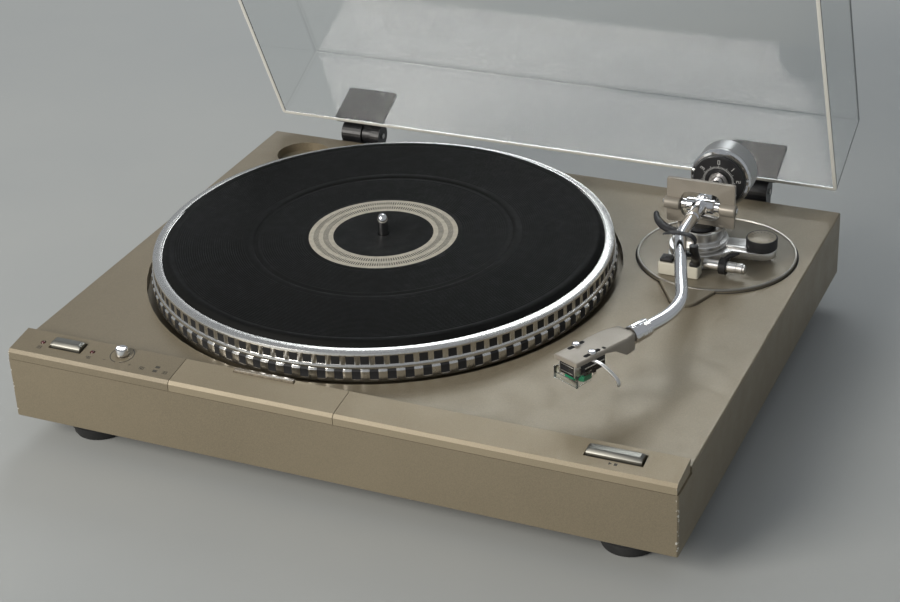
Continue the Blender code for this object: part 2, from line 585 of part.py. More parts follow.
def make_headshell():
    """The folded headshell, the cartridge under it with its screws, and the finger lift."""
    under = HEAD_TOP - 1.4
    shell = head_prism("headshell", [(2, -8.6), (10, -10.6), (51.3, -11.6), (51.3, 6.9),
                                     (10, 6.9), (2, 6.4)], under, HEAD_TOP, SATIN_SILVER)
    skirts = [
        head_prism("skirt_left", [(7, -9.4), (10, -10.2), (26, -10.6), (26, -9.2), (10, -8.8),
                                  (7, -8.2)], 81.4, under + 0.5, collection=CUTTERS),
        head_prism("skirt_right", [(7, 6.2), (26, 6.4), (26, 5.0), (7, 4.8)], 81.4, under + 0.5,
                   collection=CUTTERS),
        head_prism("skirt_deep_left", [(2.5, -8.1), (13, -9.8), (13, -7.8), (2.5, -6.4)], 76.6,
                   under + 0.8, collection=CUTTERS),
        head_prism("skirt_deep_right", [(2.5, 5.8), (13, 5.9), (13, 4.2), (2.5, 4.2)], 76.6,
                   under + 0.8, collection=CUTTERS),
        head_prism("rear_wall", [(3, -7.2), (5, -7.4), (5, 5.0), (3, 5.0)], 77.4, under + 0.3,
                   collection=CUTTERS),
        head_rod("plug", (-1.6, 0, COLLAR_END[2]), (4.2, 0, COLLAR_END[2]), 3.9,
                 collection=CUTTERS, segments=20),
    ]
    shell = join(shell, skirts)
    slots = [head_prism(f"slot_{i}", [(29.6, side - 1.4), (42.4, side - 1.4), (42.4, side + 1.4),
                                      (29.6, side + 1.4)], 80, 95, collection=CUTTERS)
             for i, side in enumerate(SCREW_SIDES)]
    cut(shell, slots)
    mid = CARTRIDGE_SIDE
    body = head_prism("cartridge_body", [
        (27, mid - 8.3), (44, mid - 8.3), (45, mid - 6.2), (49.8, mid - 6.2), (49.8, mid + 6.2),
        (45, mid + 6.2), (44, mid + 8.3), (27, mid + 8.3)], 76.2, under - GAP, BLACK_PLASTIC)
    holes = [head_rod(f"screw_hole_{i}", (36, side, 70), (36, side, 95), 1.35,
                      collection=CUTTERS, segments=12) for i, side in enumerate(SCREW_SIDES)]
    cut(body, holes)
    for name, side in zip(("cartridge_screw_left", "cartridge_screw_right"), SCREW_SIDES):
        head = head_rod(name, (36, side, HEAD_TOP + GAP), (36, side, HEAD_TOP + 1.9), 2.5, CHROME)
        shank = head_rod("shank", (36, side, 74.2), (36, side, HEAD_TOP + 1.0), 1.0,
                         collection=CUTTERS, segments=12)
        join(head, [shank])
    make_stylus(mid)
    make_finger_lift()


def make_stylus(mid):
    """The stylus block with its cantilever, and the clear guard that swings over it."""
    block = head_prism("stylus_assembly", [
        (33, mid - 4.8), (43.8, mid - 4.8), (48.6, mid - 3.2), (48.6, mid + 3.2),
        (43.8, mid + 4.8), (33, mid + 4.8)], 72.4, 75.9, GREEN)
    cantilever = head_rod("cantilever", (47.4, mid, 73.4), (45.8, mid, STYLUS_TIP), 0.7,
                          collection=CUTTERS, segments=12, end_radius=0.35)
    join(block, [cantilever])
    guard = head_prism("stylus_guard", [(50.2, mid - 7.6), (51.2, mid - 7.6), (51.2, mid + 7.6),
                                        (50.2, mid + 7.6)], 71.6, 75.5, CLEAR)
    arms = [head_prism(f"guard_arm_{side}", [
        (46.0, mid + side * 6.6), (51.0, mid + side * 6.6), (51.0, mid + side * 7.4),
        (46.0, mid + side * 7.4)], 72.6, 78.6, collection=CUTTERS) for side in (-1, 1)]
    join(guard, arms)


def make_finger_lift():
    """A flat strip that leaves the headshell's side and curves down."""
    path = [(6.2, 84.9), (9.5, 84.9), (13.5, 84.4), (17.5, 83.0), (21.0, 80.6), (24.0, 77.2),
            (25.6, 74.2)]
    half, thick = 1.6, 0.45

    def build(work):
        rings = []
        for i, (side, height) in enumerate(path):
            before, after = path[max(i - 1, 0)], path[min(i + 1, len(path) - 1)]
            run = Vector((after[0] - before[0], after[1] - before[1])).normalized()
            ring = []
            for ahead, lift in ((-half, -thick), (half, -thick), (half, thick), (-half, thick)):
                plan = head_xy(39.0 - 0.12 * side + ahead, side - run.y * lift)
                ring.append(work.verts.new(at(*plan, height + run.x * lift)))
            rings.append(ring)
        work.faces.new(rings[0])
        work.faces.new(list(reversed(rings[-1])))
        for first, second in zip(rings, rings[1:]):
            for i in range(4):
                j = (i + 1) % 4
                work.faces.new((first[j], first[i], second[i], second[j]))

    place(mesh_of(build, "finger_lift"), "finger_lift", SATIN_SILVER)


def make_counterweight():
    """The threaded nut, the weight that rides on it and the force dial in front of the weight."""
    x, _, z = PIVOT
    end_y = WEIGHT_FRONT_Y + WEIGHT_LENGTH

    def sleeve(name, start_y, stop_y, outer, inner, material, segments=32):
        body = rod(name, (x, start_y, z), (x, stop_y, z), outer, material, segments=segments)
        bore = rod("sleeve_bore", (x, start_y - 5, z), (x, stop_y + 5, z), inner,
                   collection=CUTTERS, segments=20)
        return cut(body, [bore])

    sleeve("balance_nut", WEIGHT_FRONT_Y - 4.4, end_y - 1.5, 6.5, 3.9, STEEL, 20)
    sleeve("counterweight", WEIGHT_FRONT_Y, end_y, WEIGHT_RADIUS, 6.85, CAST_ALUMINIUM, 40)
    sleeve("force_dial", WEIGHT_FRONT_Y - 3.6, WEIGHT_FRONT_Y - GAP, DIAL_RADIUS, 6.85,
           BLACK_PLASTIC, 32)


def make_arm_controls():
    """Rest latch, cue lever, lift platform and anti-skate knob."""
    latch = box("rest_latch", (160.0, 27.6, 84.4), (163.0, 32.4, 92.8), BLACK_PLASTIC)
    strap = box("latch_strap", (147.6, 27.6, 91.2), (162.8, 32.4, 93.2), collection=CUTTERS)
    join(latch, [strap])
    ring = rod("cue_lever", (169.6, 61.0, 55.6), (174.4, 61.0, 55.6), 5.5, BLACK_PLASTIC)
    handle = tube("cue_handle", [(172.0, 63.4, 58.4), (174.0, 66.5, 61.5), (180.5, 72.5, 66.0),
                                 (184.0, 74.5, 67.0)], 1.7, None, collection=CUTTERS)
    bore = rod("cue_bore", (160, 61.0, 55.6), (190, 61.0, 55.6), 3.85, collection=CUTTERS)
    cut(join(ring, [handle]), [bore])
    sweep = outline("lift_platform", [
        arc(PIVOT[:2], 30.8, 197, 272, 16) + arc(PIVOT[:2], 27.3, 272, 197, 16)], 76.9, 79.9,
        BLACK_PLASTIC)
    stem = rod("lift_stem", (137.5, 58.0, 38.0), (137.5, 58.0, 78.0), 2.05, collection=CUTTERS,
               segments=16)
    join(sweep, [stem])
    turned("anti_skate_knob", (189.0, 90.4), [
        (0, 65.5), (9.5, 65.5), (10.3, 64.7), (10.3, 58.0), (2.35, 58.0), (2.35, 61.4),
        (0, 61.4)], BLACK_PLASTIC, segments=32)


def make_front_controls():
    """The two push bars and the pitch knob."""
    y_low, y_high = BUTTON_Y
    top = strip_height((y_low + y_high) / 2) + BUTTON_RISE
    for name, (low_x, high_x) in (("speed_button", SPEED_BUTTON_X),
                                  ("play_cut_button", PLAY_BUTTON_X)):
        box(name, (low_x, y_low, 40.0), (high_x, y_high, top), SATIN_SILVER, bevel=1.4)
    collar_z = strip_height(PITCH_Y) + 0.6
    turned("pitch_knob", (PITCH_X, PITCH_Y), [
        (0, collar_z + 4.6), (3.0, collar_z + 4.6), (3.8, collar_z + 4.0), (4.3, collar_z),
        (2.6, collar_z), (2.6, 37.0), (0, 37.0)], CHROME, segments=24)


# ---------------------------------------------------------------- hinges and dust cover
def make_hinge_fixed(side_name, centre_x):
    """The bracket on the plinth's rear face, with two ears, and the pin through them."""
    side = 1 if centre_x > 0 else -1
    low_x, high_x = sorted((side * 135.0, side * 166.0))
    slot_low, slot_high = sorted((side * 141.9, side * 150.1))
    bracket = box(f"hinge_bracket_{side_name}", (low_x, REAR_Y + GAP, 8), (high_x, 196.0, 44.0),
                  BLACK_ENAMEL)
    ears = rod("ears", (low_x, HINGE_Y, HINGE_Z), (high_x, HINGE_Y, HINGE_Z), 8.0,
               collection=CUTTERS, segments=24)
    gap_between = box("ear_gap", (slot_low, REAR_Y - 5, 40.0), (slot_high, 215, 70),
                      collection=CUTTERS)
    pin_bore = rod("pin_bore", (low_x - 5, HINGE_Y, HINGE_Z), (high_x + 5, HINGE_Y, HINGE_Z), 2.3,
                   collection=CUTTERS)
    hollow = box("bracket_hollow", (low_x + 4, 184.5, 2), (high_x - 4, 192.0, 36),
                 collection=CUTTERS)
    cut(join(bracket, [ears]), [gap_between, pin_bore, hollow])
    rod(f"hinge_pin_{side_name}", (low_x - 0.8, HINGE_Y, HINGE_Z),
        (high_x + 0.8, HINGE_Y, HINGE_Z), 2.0, STEEL)


def make_dust_cover():
    """The clear cover with its two hinge leaves, built shut and then swung open."""
    hinge = bpy.data.objects.new("cover_hinge", None)
    bpy.context.scene.collection.objects.link(hinge)
    hinge.location = at(0, HINGE_Y, HINGE_Z)
    cover = box("dust_cover", (-COVER_HALF, COVER_FRONT_Y, COVER_BASE),
                (COVER_HALF, COVER_REAR_Y, COVER_TOP), CLEAR, bevel=COVER_EDGE)
    inside = box("cover_inside", (-COVER_HALF + COVER_SHEET, COVER_FRONT_Y + COVER_SHEET,
                                  COVER_BASE - 10),
                 (COVER_HALF - COVER_SHEET, COVER_REAR_Y - COVER_SHEET, COVER_TOP - COVER_SHEET),
                 collection=CUTTERS)
    pieces = [cut(cover, [inside])]
    for side_name, centre_x in zip(("left", "right"), HINGE_X):
        side = 1 if centre_x > 0 else -1
        knuckle_low, knuckle_high = sorted((side * 142.2, side * 149.8))
        leaf = box(f"hinge_leaf_{side_name}", (centre_x - 20, COVER_REAR_Y + GAP, 48.0),
                   (centre_x + 20, COVER_REAR_Y + 2.5, 80.5), BLACK_ENAMEL, bevel=0.5)
        link = box("leaf_link", (knuckle_low, COVER_REAR_Y + 1.5, 49.0),
                   (knuckle_high, HINGE_Y, 54.0), collection=CUTTERS)
        knuckle = rod("knuckle", (knuckle_low, HINGE_Y, HINGE_Z), (knuckle_high, HINGE_Y, HINGE_Z),
                      6.6, collection=CUTTERS, segments=24)
        bore = rod("knuckle_bore", (knuckle_low - 5, HINGE_Y, HINGE_Z),
                   (knuckle_high + 5, HINGE_Y, HINGE_Z), 2.3, collection=CUTTERS)
        pieces.append(cut(join(leaf, [link, knuckle]), [bore]))
    bpy.context.view_layer.update()
    for piece in pieces:
        piece.parent = hinge
        piece.matrix_parent_inverse = hinge.matrix_world.inverted()
    hinge.rotation_euler = (-OPEN_ANGLE, 0.0, 0.0)


make_cabinet()
make_bottom_and_feet()
make_control_strip()
make_motor()
make_electrics()
make_platter()
make_arm_base()
make_arm_rest()
make_yoke()
make_arm_tube()
make_headshell()
make_counterweight()
make_arm_controls()
make_front_controls()
for hinge_side, hinge_centre in zip(("left", "right"), HINGE_X):
    make_hinge_fixed(hinge_side, hinge_centre)
make_dust_cover()
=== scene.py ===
"""Looks for the turntable record player: surfaces, procedural finishes, a studio floor and light.

Lengths are in millimetres in the deck frame: x to the right, y to the rear and z up from the
plinth's underside, with the plinth's footprint centred on x = y = 0.
"""

import math

import bpy
import numpy as np
from bpy.props import FloatProperty, FloatVectorProperty, IntProperty, PointerProperty
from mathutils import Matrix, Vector


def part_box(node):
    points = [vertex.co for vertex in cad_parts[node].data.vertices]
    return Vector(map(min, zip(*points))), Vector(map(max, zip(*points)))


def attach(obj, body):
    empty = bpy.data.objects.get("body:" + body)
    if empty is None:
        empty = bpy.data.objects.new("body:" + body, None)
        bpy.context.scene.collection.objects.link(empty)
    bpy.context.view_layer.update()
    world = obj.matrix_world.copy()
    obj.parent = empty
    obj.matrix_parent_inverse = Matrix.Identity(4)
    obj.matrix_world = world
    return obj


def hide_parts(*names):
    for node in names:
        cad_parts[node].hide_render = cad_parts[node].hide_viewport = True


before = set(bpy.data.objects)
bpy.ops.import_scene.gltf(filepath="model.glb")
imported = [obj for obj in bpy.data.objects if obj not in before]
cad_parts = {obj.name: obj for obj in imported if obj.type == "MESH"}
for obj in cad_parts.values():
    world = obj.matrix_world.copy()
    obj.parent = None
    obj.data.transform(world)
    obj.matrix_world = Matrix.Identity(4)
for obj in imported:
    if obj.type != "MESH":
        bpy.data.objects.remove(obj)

bl_info = {
    "name": "Turntable looks",
    "version": (1, 0, 0),
    "blender": (4, 5, 0),
    "location": "3D View > Sidebar > Turntable",
    "description": "Builds the visible surfaces and finishes of a turntable around its frame",
    "category": "Object",
}

MM = 0.001
LOW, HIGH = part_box("cabinet")
DECK_ORIGIN = np.array(((LOW.x + HIGH.x) / 2, (LOW.y + HIGH.y) / 2, LOW.z))
DECK_TOP = 46.4
FRONT_Y = -179.3
PLATTER = (-47.2, 10.4)              # middle of the platter
PIVOT = (149.0, 84.5, 84.8)          # where the arm's two axes cross
ARM_PLATE = (158.6, 91.0)            # middle of the round arm plate
ANTI_SKATE = (189.0, 90.4)           # axis of the anti-skate knob
CUE_AXIS = (0.0, 61.0, 55.6)         # the cue barrel runs along x through this point
HEAD_ORIGIN = (160.5, -88.6, 82.4)   # where the headshell's plug meets the collar
HEAD_TURN = math.radians(24.3)
HEAD_TOP = 87.6
CARTRIDGE_SIDE = -2.4
SCREW_SIDES = (-8.8, 4.0)            # 12.8 apart, either side of the cartridge's middle
HINGE_Y, HINGE_Z = 191.5, 48.5
OPEN_ANGLE = math.radians(65.0)
COVER_HALF, COVER_FRONT, COVER_REAR = 215.6, -154.0, 178.5
CORNER_STEPS = 8                     # spans round each corner of the dust cover
TAU = math.tau


# ---------------------------------------------------------------- places
def deck(points):
    """Deck-frame millimetres to metres in the model's frame."""
    return np.asarray(points, float) * MM + DECK_ORIGIN


def head(points):
    """Headshell coordinates (ahead, side, height) to metres in the model's frame."""
    points = np.asarray(points, float)
    ahead, side, height = points[..., 0], points[..., 1], points[..., 2]
    sin, cos = math.sin(HEAD_TURN), math.cos(HEAD_TURN)
    return deck(np.stack((HEAD_ORIGIN[0] - sin * ahead + cos * side,
                          HEAD_ORIGIN[1] - cos * ahead - sin * side, height), -1))


def cover_open(points):
    """Where points of the shut cover go when it swings open about its hinge line."""
    points = np.asarray(points, float)
    y, z = points[..., 1] - HINGE_Y, points[..., 2] - HINGE_Z
    sin, cos = math.sin(OPEN_ANGLE), math.cos(OPEN_ANGLE)
    return deck(np.stack((points[..., 0], HINGE_Y + y * cos + z * sin,
                          HINGE_Z - y * sin + z * cos), -1))


def upright(y):
    """A place for outlines drawn in x and z whose thickness runs from y towards the front."""
    def placed(points):
        points = np.asarray(points, float)
        return deck(np.stack((points[..., 0], y - points[..., 2], points[..., 1]), -1))
    return placed


# ---------------------------------------------------------------- surfaces
def soften(points, size, steps=4, closed=True):
    """The points with each corner replaced by a short curve that starts size before it."""
    points = np.asarray(points, float)
    count = len(points)
    made = []
    for i, corner in enumerate(points):
        if not closed and i in (0, count - 1):
            made.append(corner)
            continue
        before, after = points[i - 1], points[(i + 1) % count]
        to_before, to_after = before - corner, after - corner
        long_before, long_after = np.linalg.norm(to_before), np.linalg.norm(to_after)
        first = corner + to_before * min(size / long_before, 0.45)
        last = corner + to_after * min(size / long_after, 0.45)
        for t in np.linspace(0, 1, steps + 1):
            made.append((1 - t) ** 2 * first + 2 * t * (1 - t) * corner + t * t * last)
    return np.array(made)


def spline(points, per_span=8):
    """A Catmull-Rom curve through the points."""
    points = np.asarray(points, float)
    padded = np.vstack((2 * points[0] - points[1], points, 2 * points[-1] - points[-2]))
    made = []
    for i in range(1, len(padded) - 2):
        p0, p1, p2, p3 = padded[i - 1:i + 3]
        for t in np.arange(per_span) / per_span:
            made.append(0.5 * (2 * p1 + (p2 - p0) * t + (2 * p0 - 5 * p1 + 4 * p2 - p3) * t * t
                               + (3 * p1 - p0 - 3 * p2 + p3) * t ** 3))
    made.append(points[-1])
    return np.array(made)


def circle(radius, count=32):
    """A closed circle as a section for a sweep."""
    angles = np.arange(count) / count * TAU
    return np.stack((radius * np.cos(angles), radius * np.sin(angles)), -1)


def oval(half_width, half_height, count=20):
    """A closed ellipse as a section for a sweep."""
    return circle(1.0, count) * np.array((half_width, half_height))


def arc(centre, radius, start, stop, count):
    """Points round part of a circle; the angles are in degrees."""
    return [(centre[0] + radius * math.cos(math.radians(a)),
             centre[1] + radius * math.sin(math.radians(a)))
            for a in np.linspace(start, stop, count)]


def rectangle(left, low, right, high):
    """The four corners, anticlockwise."""
    return [(left, low), (right, low), (right, high), (left, high)]


def taper(count, stops, sizes):
    """count sizes spread evenly along a path, read off between the stops from 0 to 1."""
    return np.interp(np.linspace(0, 1, count), stops, sizes)


def mesh_from_rows(rows, wrap_rows=False, ends=(None, None)):
    """Points and faces of a skin over closed rows of equal length.

    ends gives, for the first and last row, a point to close to, or None for one flat face.
    """
    rows = np.asarray(rows, float)
    count, around = rows.shape[:2]
    points = list(rows.reshape(-1, 3))
    spans = count if wrap_rows else count - 1
    faces = []
    for i in range(spans):
        a, b = i * around, ((i + 1) % count) * around
        for j in range(around):
            k = (j + 1) % around
            faces.append((a + j, a + k, b + k, b + j))
    if not wrap_rows:
        for start, apex, flip in ((0, ends[0], True), ((count - 1) * around, ends[1], False)):
            loop = [start + j for j in range(around)]
            if flip:
                loop.reverse()
            if apex is None:
                faces.append(tuple(loop))
            else:
                points.append(np.asarray(apex, float))
                top = len(points) - 1
                faces += [(loop[j], loop[(j + 1) % around], top) for j in range(around)]
    return np.array(points), faces


def outward(points, faces):
    """The faces, turned round if the closed skin encloses a negative volume."""
    volume = 0.0
    for face in faces:
        a = points[face[0]]
        for j in range(1, len(face) - 1):
            volume += np.dot(a, np.cross(points[face[j]], points[face[j + 1]]))
    return faces if volume > 0 else [tuple(reversed(face)) for face in faces]


def piece(name, skin, material, body, replaces=(), sharp=32.0):
    """One named object from points and faces, riding on a body and standing for CAD nodes."""
    points, faces = skin
    faces = outward(points - points.mean(0), faces)
    mesh = bpy.data.meshes.new(name)
    mesh.from_pydata([tuple(p) for p in points], [], faces)
    mesh.validate()
    mesh.materials.append(material)
    mesh.shade_smooth()
    mesh.set_sharp_from_angle(angle=math.radians(sharp))
    made = bpy.data.objects.new(name, mesh)
    bpy.context.scene.collection.objects.link(made)
    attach(made, body)
    if replaces:
        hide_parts(*replaces)
    return made


def lathe(profile, centre, place=deck, axis="z", segments=64, closed=False):
    """A skin turned about an axis through centre; profile holds (radius, position along axis).

    A profile that starts or ends at radius 0 closes there to a point.
    """
    profile = [tuple(p) for p in profile]
    ends = [None, None]
    if profile[0][0] == 0:
        ends[0] = profile.pop(0)[1]
    if profile[-1][0] == 0:
        ends[1] = profile.pop()[1]
    angles = np.arange(segments) / segments * TAU

    def turn(radius, along, angle):
        a, b = radius * np.cos(angle), radius * np.sin(angle)
        along = np.broadcast_to(along, np.shape(a))
        if axis == "z":
            return np.stack((centre[0] + a, centre[1] + b, along), -1)
        if axis == "y":
            return np.stack((centre[0] + a, along, centre[2] + b), -1)
        return np.stack((along, centre[1] + a, centre[2] + b), -1)

    rows = [place(turn(radius, along, angles)) for radius, along in profile]
    apex = [None if e is None else place(turn(np.array(0.0), e, 0.0)) for e in ends]
    return mesh_from_rows(rows, wrap_rows=closed, ends=apex)


def inset(outline, amount):
    """A closed outline moved inwards along its own normals."""
    outline = np.asarray(outline, float)
    ahead = np.roll(outline, -1, 0) - outline
    behind = outline - np.roll(outline, 1, 0)
    run = ahead / (np.linalg.norm(ahead, axis=1)[:, None] + 1e-9) \
        + behind / (np.linalg.norm(behind, axis=1)[:, None] + 1e-9)
    run /= np.linalg.norm(run, axis=1)[:, None] + 1e-9
    area = np.sum(outline[:, 0] * np.roll(outline[:, 1], -1)
                  - outline[:, 1] * np.roll(outline[:, 0], -1))
    side = 1.0 if area > 0 else -1.0
    return outline + amount * side * np.stack((-run[:, 1], run[:, 0]), -1)


def edge_rows(outline, low, high, edge, steps=3):
    """Loops up the side of a slab, with both edges rounded by a quarter circle."""
    rows = []
    for t in np.linspace(0, 1, steps + 1):
        back = edge * (1 - math.sin(t * math.pi / 2))
        rows.append((back, low + edge * (1 - math.cos(t * math.pi / 2))))
    rows += [(back, high - (z - low)) for back, z in reversed(rows)]
    return [np.column_stack((inset(outline, back), np.full(len(outline), z))) for back, z in rows]


def slab(outline, low, high, edge, place=deck):
    """A flat plate with rounded edges."""
    return mesh_from_rows([place(row) for row in edge_rows(outline, low, high, edge)])


def holed_slab(outer, inner, low, high, edge, place=deck, samples=96):
    """A flat plate with one hole; both outlines are resampled by angle about the hole."""
    middle = np.mean(inner, 0)

    def by_angle(outline):
        outline = np.asarray(outline, float) - middle
        angles = np.arange(samples) / samples * TAU - math.pi
        dense = np.vstack([outline[i] + (outline[(i + 1) % len(outline)] - outline[i]) * t
                           for i in range(len(outline)) for t in np.linspace(0, 1, 24)[:-1]])
        own = np.arctan2(dense[:, 1], dense[:, 0])
        return dense[[np.argmin(np.abs((own - a + math.pi) % TAU - math.pi))
                      for a in angles]] + middle

    rows = edge_rows(by_angle(outer), low, high, edge)
    rows += edge_rows(by_angle(inner), low, high, -edge)[::-1]
    return mesh_from_rows([place(row) for row in rows], wrap_rows=True)


def sweep(path, section, place=deck, scale=None, up=(0.0, 0.0, 1.0), ends=(None, None)):
    """A closed section carried along a path; scale gives each station's size."""
    path, section = np.asarray(path, float), np.asarray(section, float)
    scale = np.ones(len(path)) if scale is None else np.asarray(scale, float)
    run = np.gradient(path, axis=0)
    run /= np.linalg.norm(run, axis=1)[:, None]
    rows = []
    for at, way, size in zip(path, run, scale):
        side = np.cross(way, up)
        side /= np.linalg.norm(side)
        rise = np.cross(side, way)
        rows.append(place(at + size * (section[:, :1] * side + section[:, 1:] * rise)))
    return mesh_from_rows(rows, ends=ends)


def merged(*skins):
    """Several closed skins as one set of points and faces, each turned outwards."""
    points, faces = [], []
    for own_points, own_faces in skins:
        start = sum(len(p) for p in points)
        own_faces = outward(own_points - own_points.mean(0), own_faces)
        points.append(own_points)
        faces += [tuple(i + start for i in face) for face in own_faces]
    return np.vstack(points), faces


def bar(low, high, edge=0.3, place=deck):
    """A block between two corners with rounded edges."""
    outline = soften(rectangle(*low[:2], *high[:2]), edge * 1.5, 3)
    return slab(outline, low[2], high[2], edge, place)


# ---------------------------------------------------------------- finishes
class Finish:
    """A Principled material with short ways to add procedural nodes to it."""

    def __init__(self, name, color, metallic=0.0, roughness=0.5):
        self.material = bpy.data.materials.new(name)
        self.material.use_nodes = True
        self.tree = self.material.node_tree
        self.shader = self.tree.nodes["Principled BSDF"]
        self.set("Base Color", (*color, 1.0))
        self.set("Metallic", metallic)
        self.set("Roughness", roughness)
        self.material.diffuse_color = (*color, 1.0)
        self.place = self.tree.nodes.new("ShaderNodeTexCoord").outputs["Object"]

    def set(self, socket, value):
        """Sets a constant on the shader, or links a node's output to it."""
        if isinstance(value, bpy.types.NodeSocket):
            self.tree.links.new(value, self.shader.inputs[socket])
        else:
            self.shader.inputs[socket].default_value = value

    def node(self, kind, inputs=(), **settings):
        """Adds a node; inputs maps sockets to constants or to other nodes' outputs."""
        made = self.tree.nodes.new(kind)
        for key, value in settings.items():
            setattr(made, key, value)
        for key, value in dict(inputs).items():
            if isinstance(value, bpy.types.NodeSocket):
                self.tree.links.new(value, made.inputs[key])
            else:
                made.inputs[key].default_value = value
        return made

    def math(self, operation, a, b=0.0):
        """The output of one Math node."""
        return self.node("ShaderNodeMath", {0: a, 1: b}, operation=operation).outputs[0]

    def noise(self, scale, detail=4.0, roughness=0.55, stretch=None):
        """Noise over the piece, from 0 to 1, stretched along its axes where that is asked."""
        vector = self.place
        if stretch is not None:
            vector = self.node("ShaderNodeVectorMath", {0: vector, 1: stretch},
                               operation="MULTIPLY").outputs[0]
        return self.node("ShaderNodeTexNoise", {"Vector": vector, "Scale": scale,
                                                "Detail": detail,
                                                "Roughness": roughness}).outputs["Fac"]

    def span(self, value, low, high, to_low=0.0, to_high=1.0):
        """value mapped smoothly from the range low to high onto the range to_low to to_high."""
        return self.node("ShaderNodeMapRange", {
            "Value": value, "From Min": low, "From Max": high, "To Min": to_low,
            "To Max": to_high}).outputs[0]

    def mix(self, share, first, second):
        """A colour between first and second."""
        made = self.node("ShaderNodeMix", data_type="RGBA")
        for socket, value in ((made.inputs[0], share), (made.inputs[6], first),
                              (made.inputs[7], second)):
            if isinstance(value, bpy.types.NodeSocket):
                self.tree.links.new(value, socket)
            elif isinstance(value, tuple):
                socket.default_value = (*value, 1.0)
            else:
                socket.default_value = value
        return made.outputs[2]

    def bump(self, height, distance, strength=1.0):
        """Fine relief; distance is in metres."""
        self.set("Normal", self.node("ShaderNodeBump", {
            "Height": height, "Distance": distance, "Strength": strength}).outputs[0])

    def polar(self, centre):
        """Distance from a vertical axis, and the turn round it from 0 to 1, as sockets."""
        middle = deck((*centre, 0.0))
        shifted = self.node("ShaderNodeVectorMath", {
            0: self.place, 1: (middle[0], middle[1], 0.0)}, operation="SUBTRACT").outputs[0]
        parts = self.node("ShaderNodeSeparateXYZ", {0: shifted})
        x, y = parts.outputs[0], parts.outputs[1]
        radius = self.math("SQRT", self.math("ADD", self.math("MULTIPLY", x, x),
                                             self.math("MULTIPLY", y, y)))
        turn = self.math("ADD", self.math("DIVIDE", self.math("ARCTAN2", y, x), TAU), 0.5)
        return radius, turn

    def band(self, value, low, high, soft=0.00006):
        """1 between low and high, with soft edges."""
        return self.math("MULTIPLY", self.span(value, low - soft, low + soft),
                         self.span(value, high + soft, high - soft))


def metallic_paint(name, color, dark, grain=1500.0, wear=True):
    """Fine metal-flake paint with slow tone drift, dust in its tone and tiny pale chips."""
    made = Finish(name, color, 0.25, 0.4)
    drift = made.noise(9.0, 3.0)
    flake = made.noise(grain, 2.0, 0.7)
    tone = made.mix(made.span(drift, 0.3, 0.7), dark, color)
    speck = made.mix(made.span(flake, 0.35, 0.68, 0.0, 0.4), tone,
                     tuple(min(c * 1.45, 1.0) for c in color))
    if wear:
        parts = made.node("ShaderNodeSeparateXYZ", {0: made.place})
        sideways = made.math("ABSOLUTE", parts.outputs[0])
        edge = made.math("MULTIPLY", made.math("GREATER_THAN", sideways, 0.2184),
                         made.math("LESS_THAN", parts.outputs[1],
                                   float(deck((0, FRONT_Y + 1.6, 0))[1])))
        chips = made.span(made.noise(420.0, 2.0, 0.5), 0.60, 0.63)
        speck = made.mix(made.math("MULTIPLY", chips, edge), speck, (0.62, 0.60, 0.54))
    made.set("Base Color", speck)
    made.set("Roughness", made.span(made.noise(60.0, 5.0), 0.3, 0.75, 0.34, 0.46))
    made.bump(flake, 0.00004, 0.6)
    return made.material


def bare_metal(name, color, rough=(0.18, 0.34), grain=900.0, stretch=None, bump=0.00002,
               tarnish=(0.55, 0.53, 0.50)):
    """Bare or plated metal: roughness drifts, with fine machining marks and faint tarnish."""
    made = Finish(name, color, 1.0, rough[0])
    marks = made.noise(grain, 3.0, 0.6, stretch=stretch)
    cloud = made.noise(35.0, 5.0)
    made.set("Base Color", made.mix(made.span(cloud, 0.52, 0.85, 0.0, 0.5), color,
                                    tuple(a * b for a, b in zip(color, tarnish))))
    made.set("Roughness", made.span(made.math("ADD", marks, cloud), 0.6, 1.4, *rough))
    made.bump(marks, bump, 0.6)
    return made.material


def moulded(name, color, rough=(0.38, 0.6), grain=1100.0, bump=0.00003, pale=1.5):
    """Moulded plastic or rubber: a fine texture, a little dust and uneven sheen."""
    made = Finish(name, color, 0.0, rough[0])
    grains = made.noise(grain, 2.0, 0.6)
    cloud = made.noise(45.0, 5.0, 0.6)
    lighter = tuple(min(c * pale + 0.008, 1.0) for c in color)
    made.set("Base Color", made.mix(made.span(cloud, 0.4, 0.8), color, lighter))
    made.set("Roughness", made.span(made.math("ADD", grains, cloud), 0.6, 1.4, *rough))
    made.bump(grains, bump, 0.7)
    return made.material


def turned_metal(name, color, centre, rough=(0.16, 0.3)):
    """Lathe-turned metal: fine rings round a vertical axis."""
    made = Finish(name, color, 1.0, rough[0])
    radius, turn = made.polar(centre)
    rings = made.node("ShaderNodeTexNoise", {
        "W": made.math("MULTIPLY", radius, 9000.0), "Scale": 1.0, "Detail": 2.0},
        noise_dimensions="1D").outputs["Fac"]
    cloud = made.noise(30.0, 5.0)
    made.set("Base Color", made.mix(made.span(cloud, 0.5, 0.85, 0.0, 0.45), color,
                                    tuple(c * 0.7 for c in color)))
    made.set("Roughness", made.span(made.math("ADD", rings, cloud), 0.6, 1.4, *rough))
    made.bump(rings, 0.00002, 0.5)
    return made, radius, turn


def rim_finish():
    """The platter's turned rim with black strobe squares, marked by the dots attribute."""
    made, _, _ = turned_metal("platter_rim_metal", (0.80, 0.79, 0.76), PLATTER, (0.17, 0.32))
    dots = made.node("ShaderNodeAttribute", attribute_name="dots").outputs["Fac"]
    base = made.shader.inputs["Base Color"].links[0].from_socket
    made.set("Base Color", made.mix(dots, base, (0.010, 0.010, 0.011)))
    made.set("Metallic", made.math("SUBTRACT", 1.0, dots))
    rough = made.shader.inputs["Roughness"].links[0].from_socket
    made.set("Roughness", made.math("ADD", rough, made.math("MULTIPLY", dots, 0.35)))
    return made.material


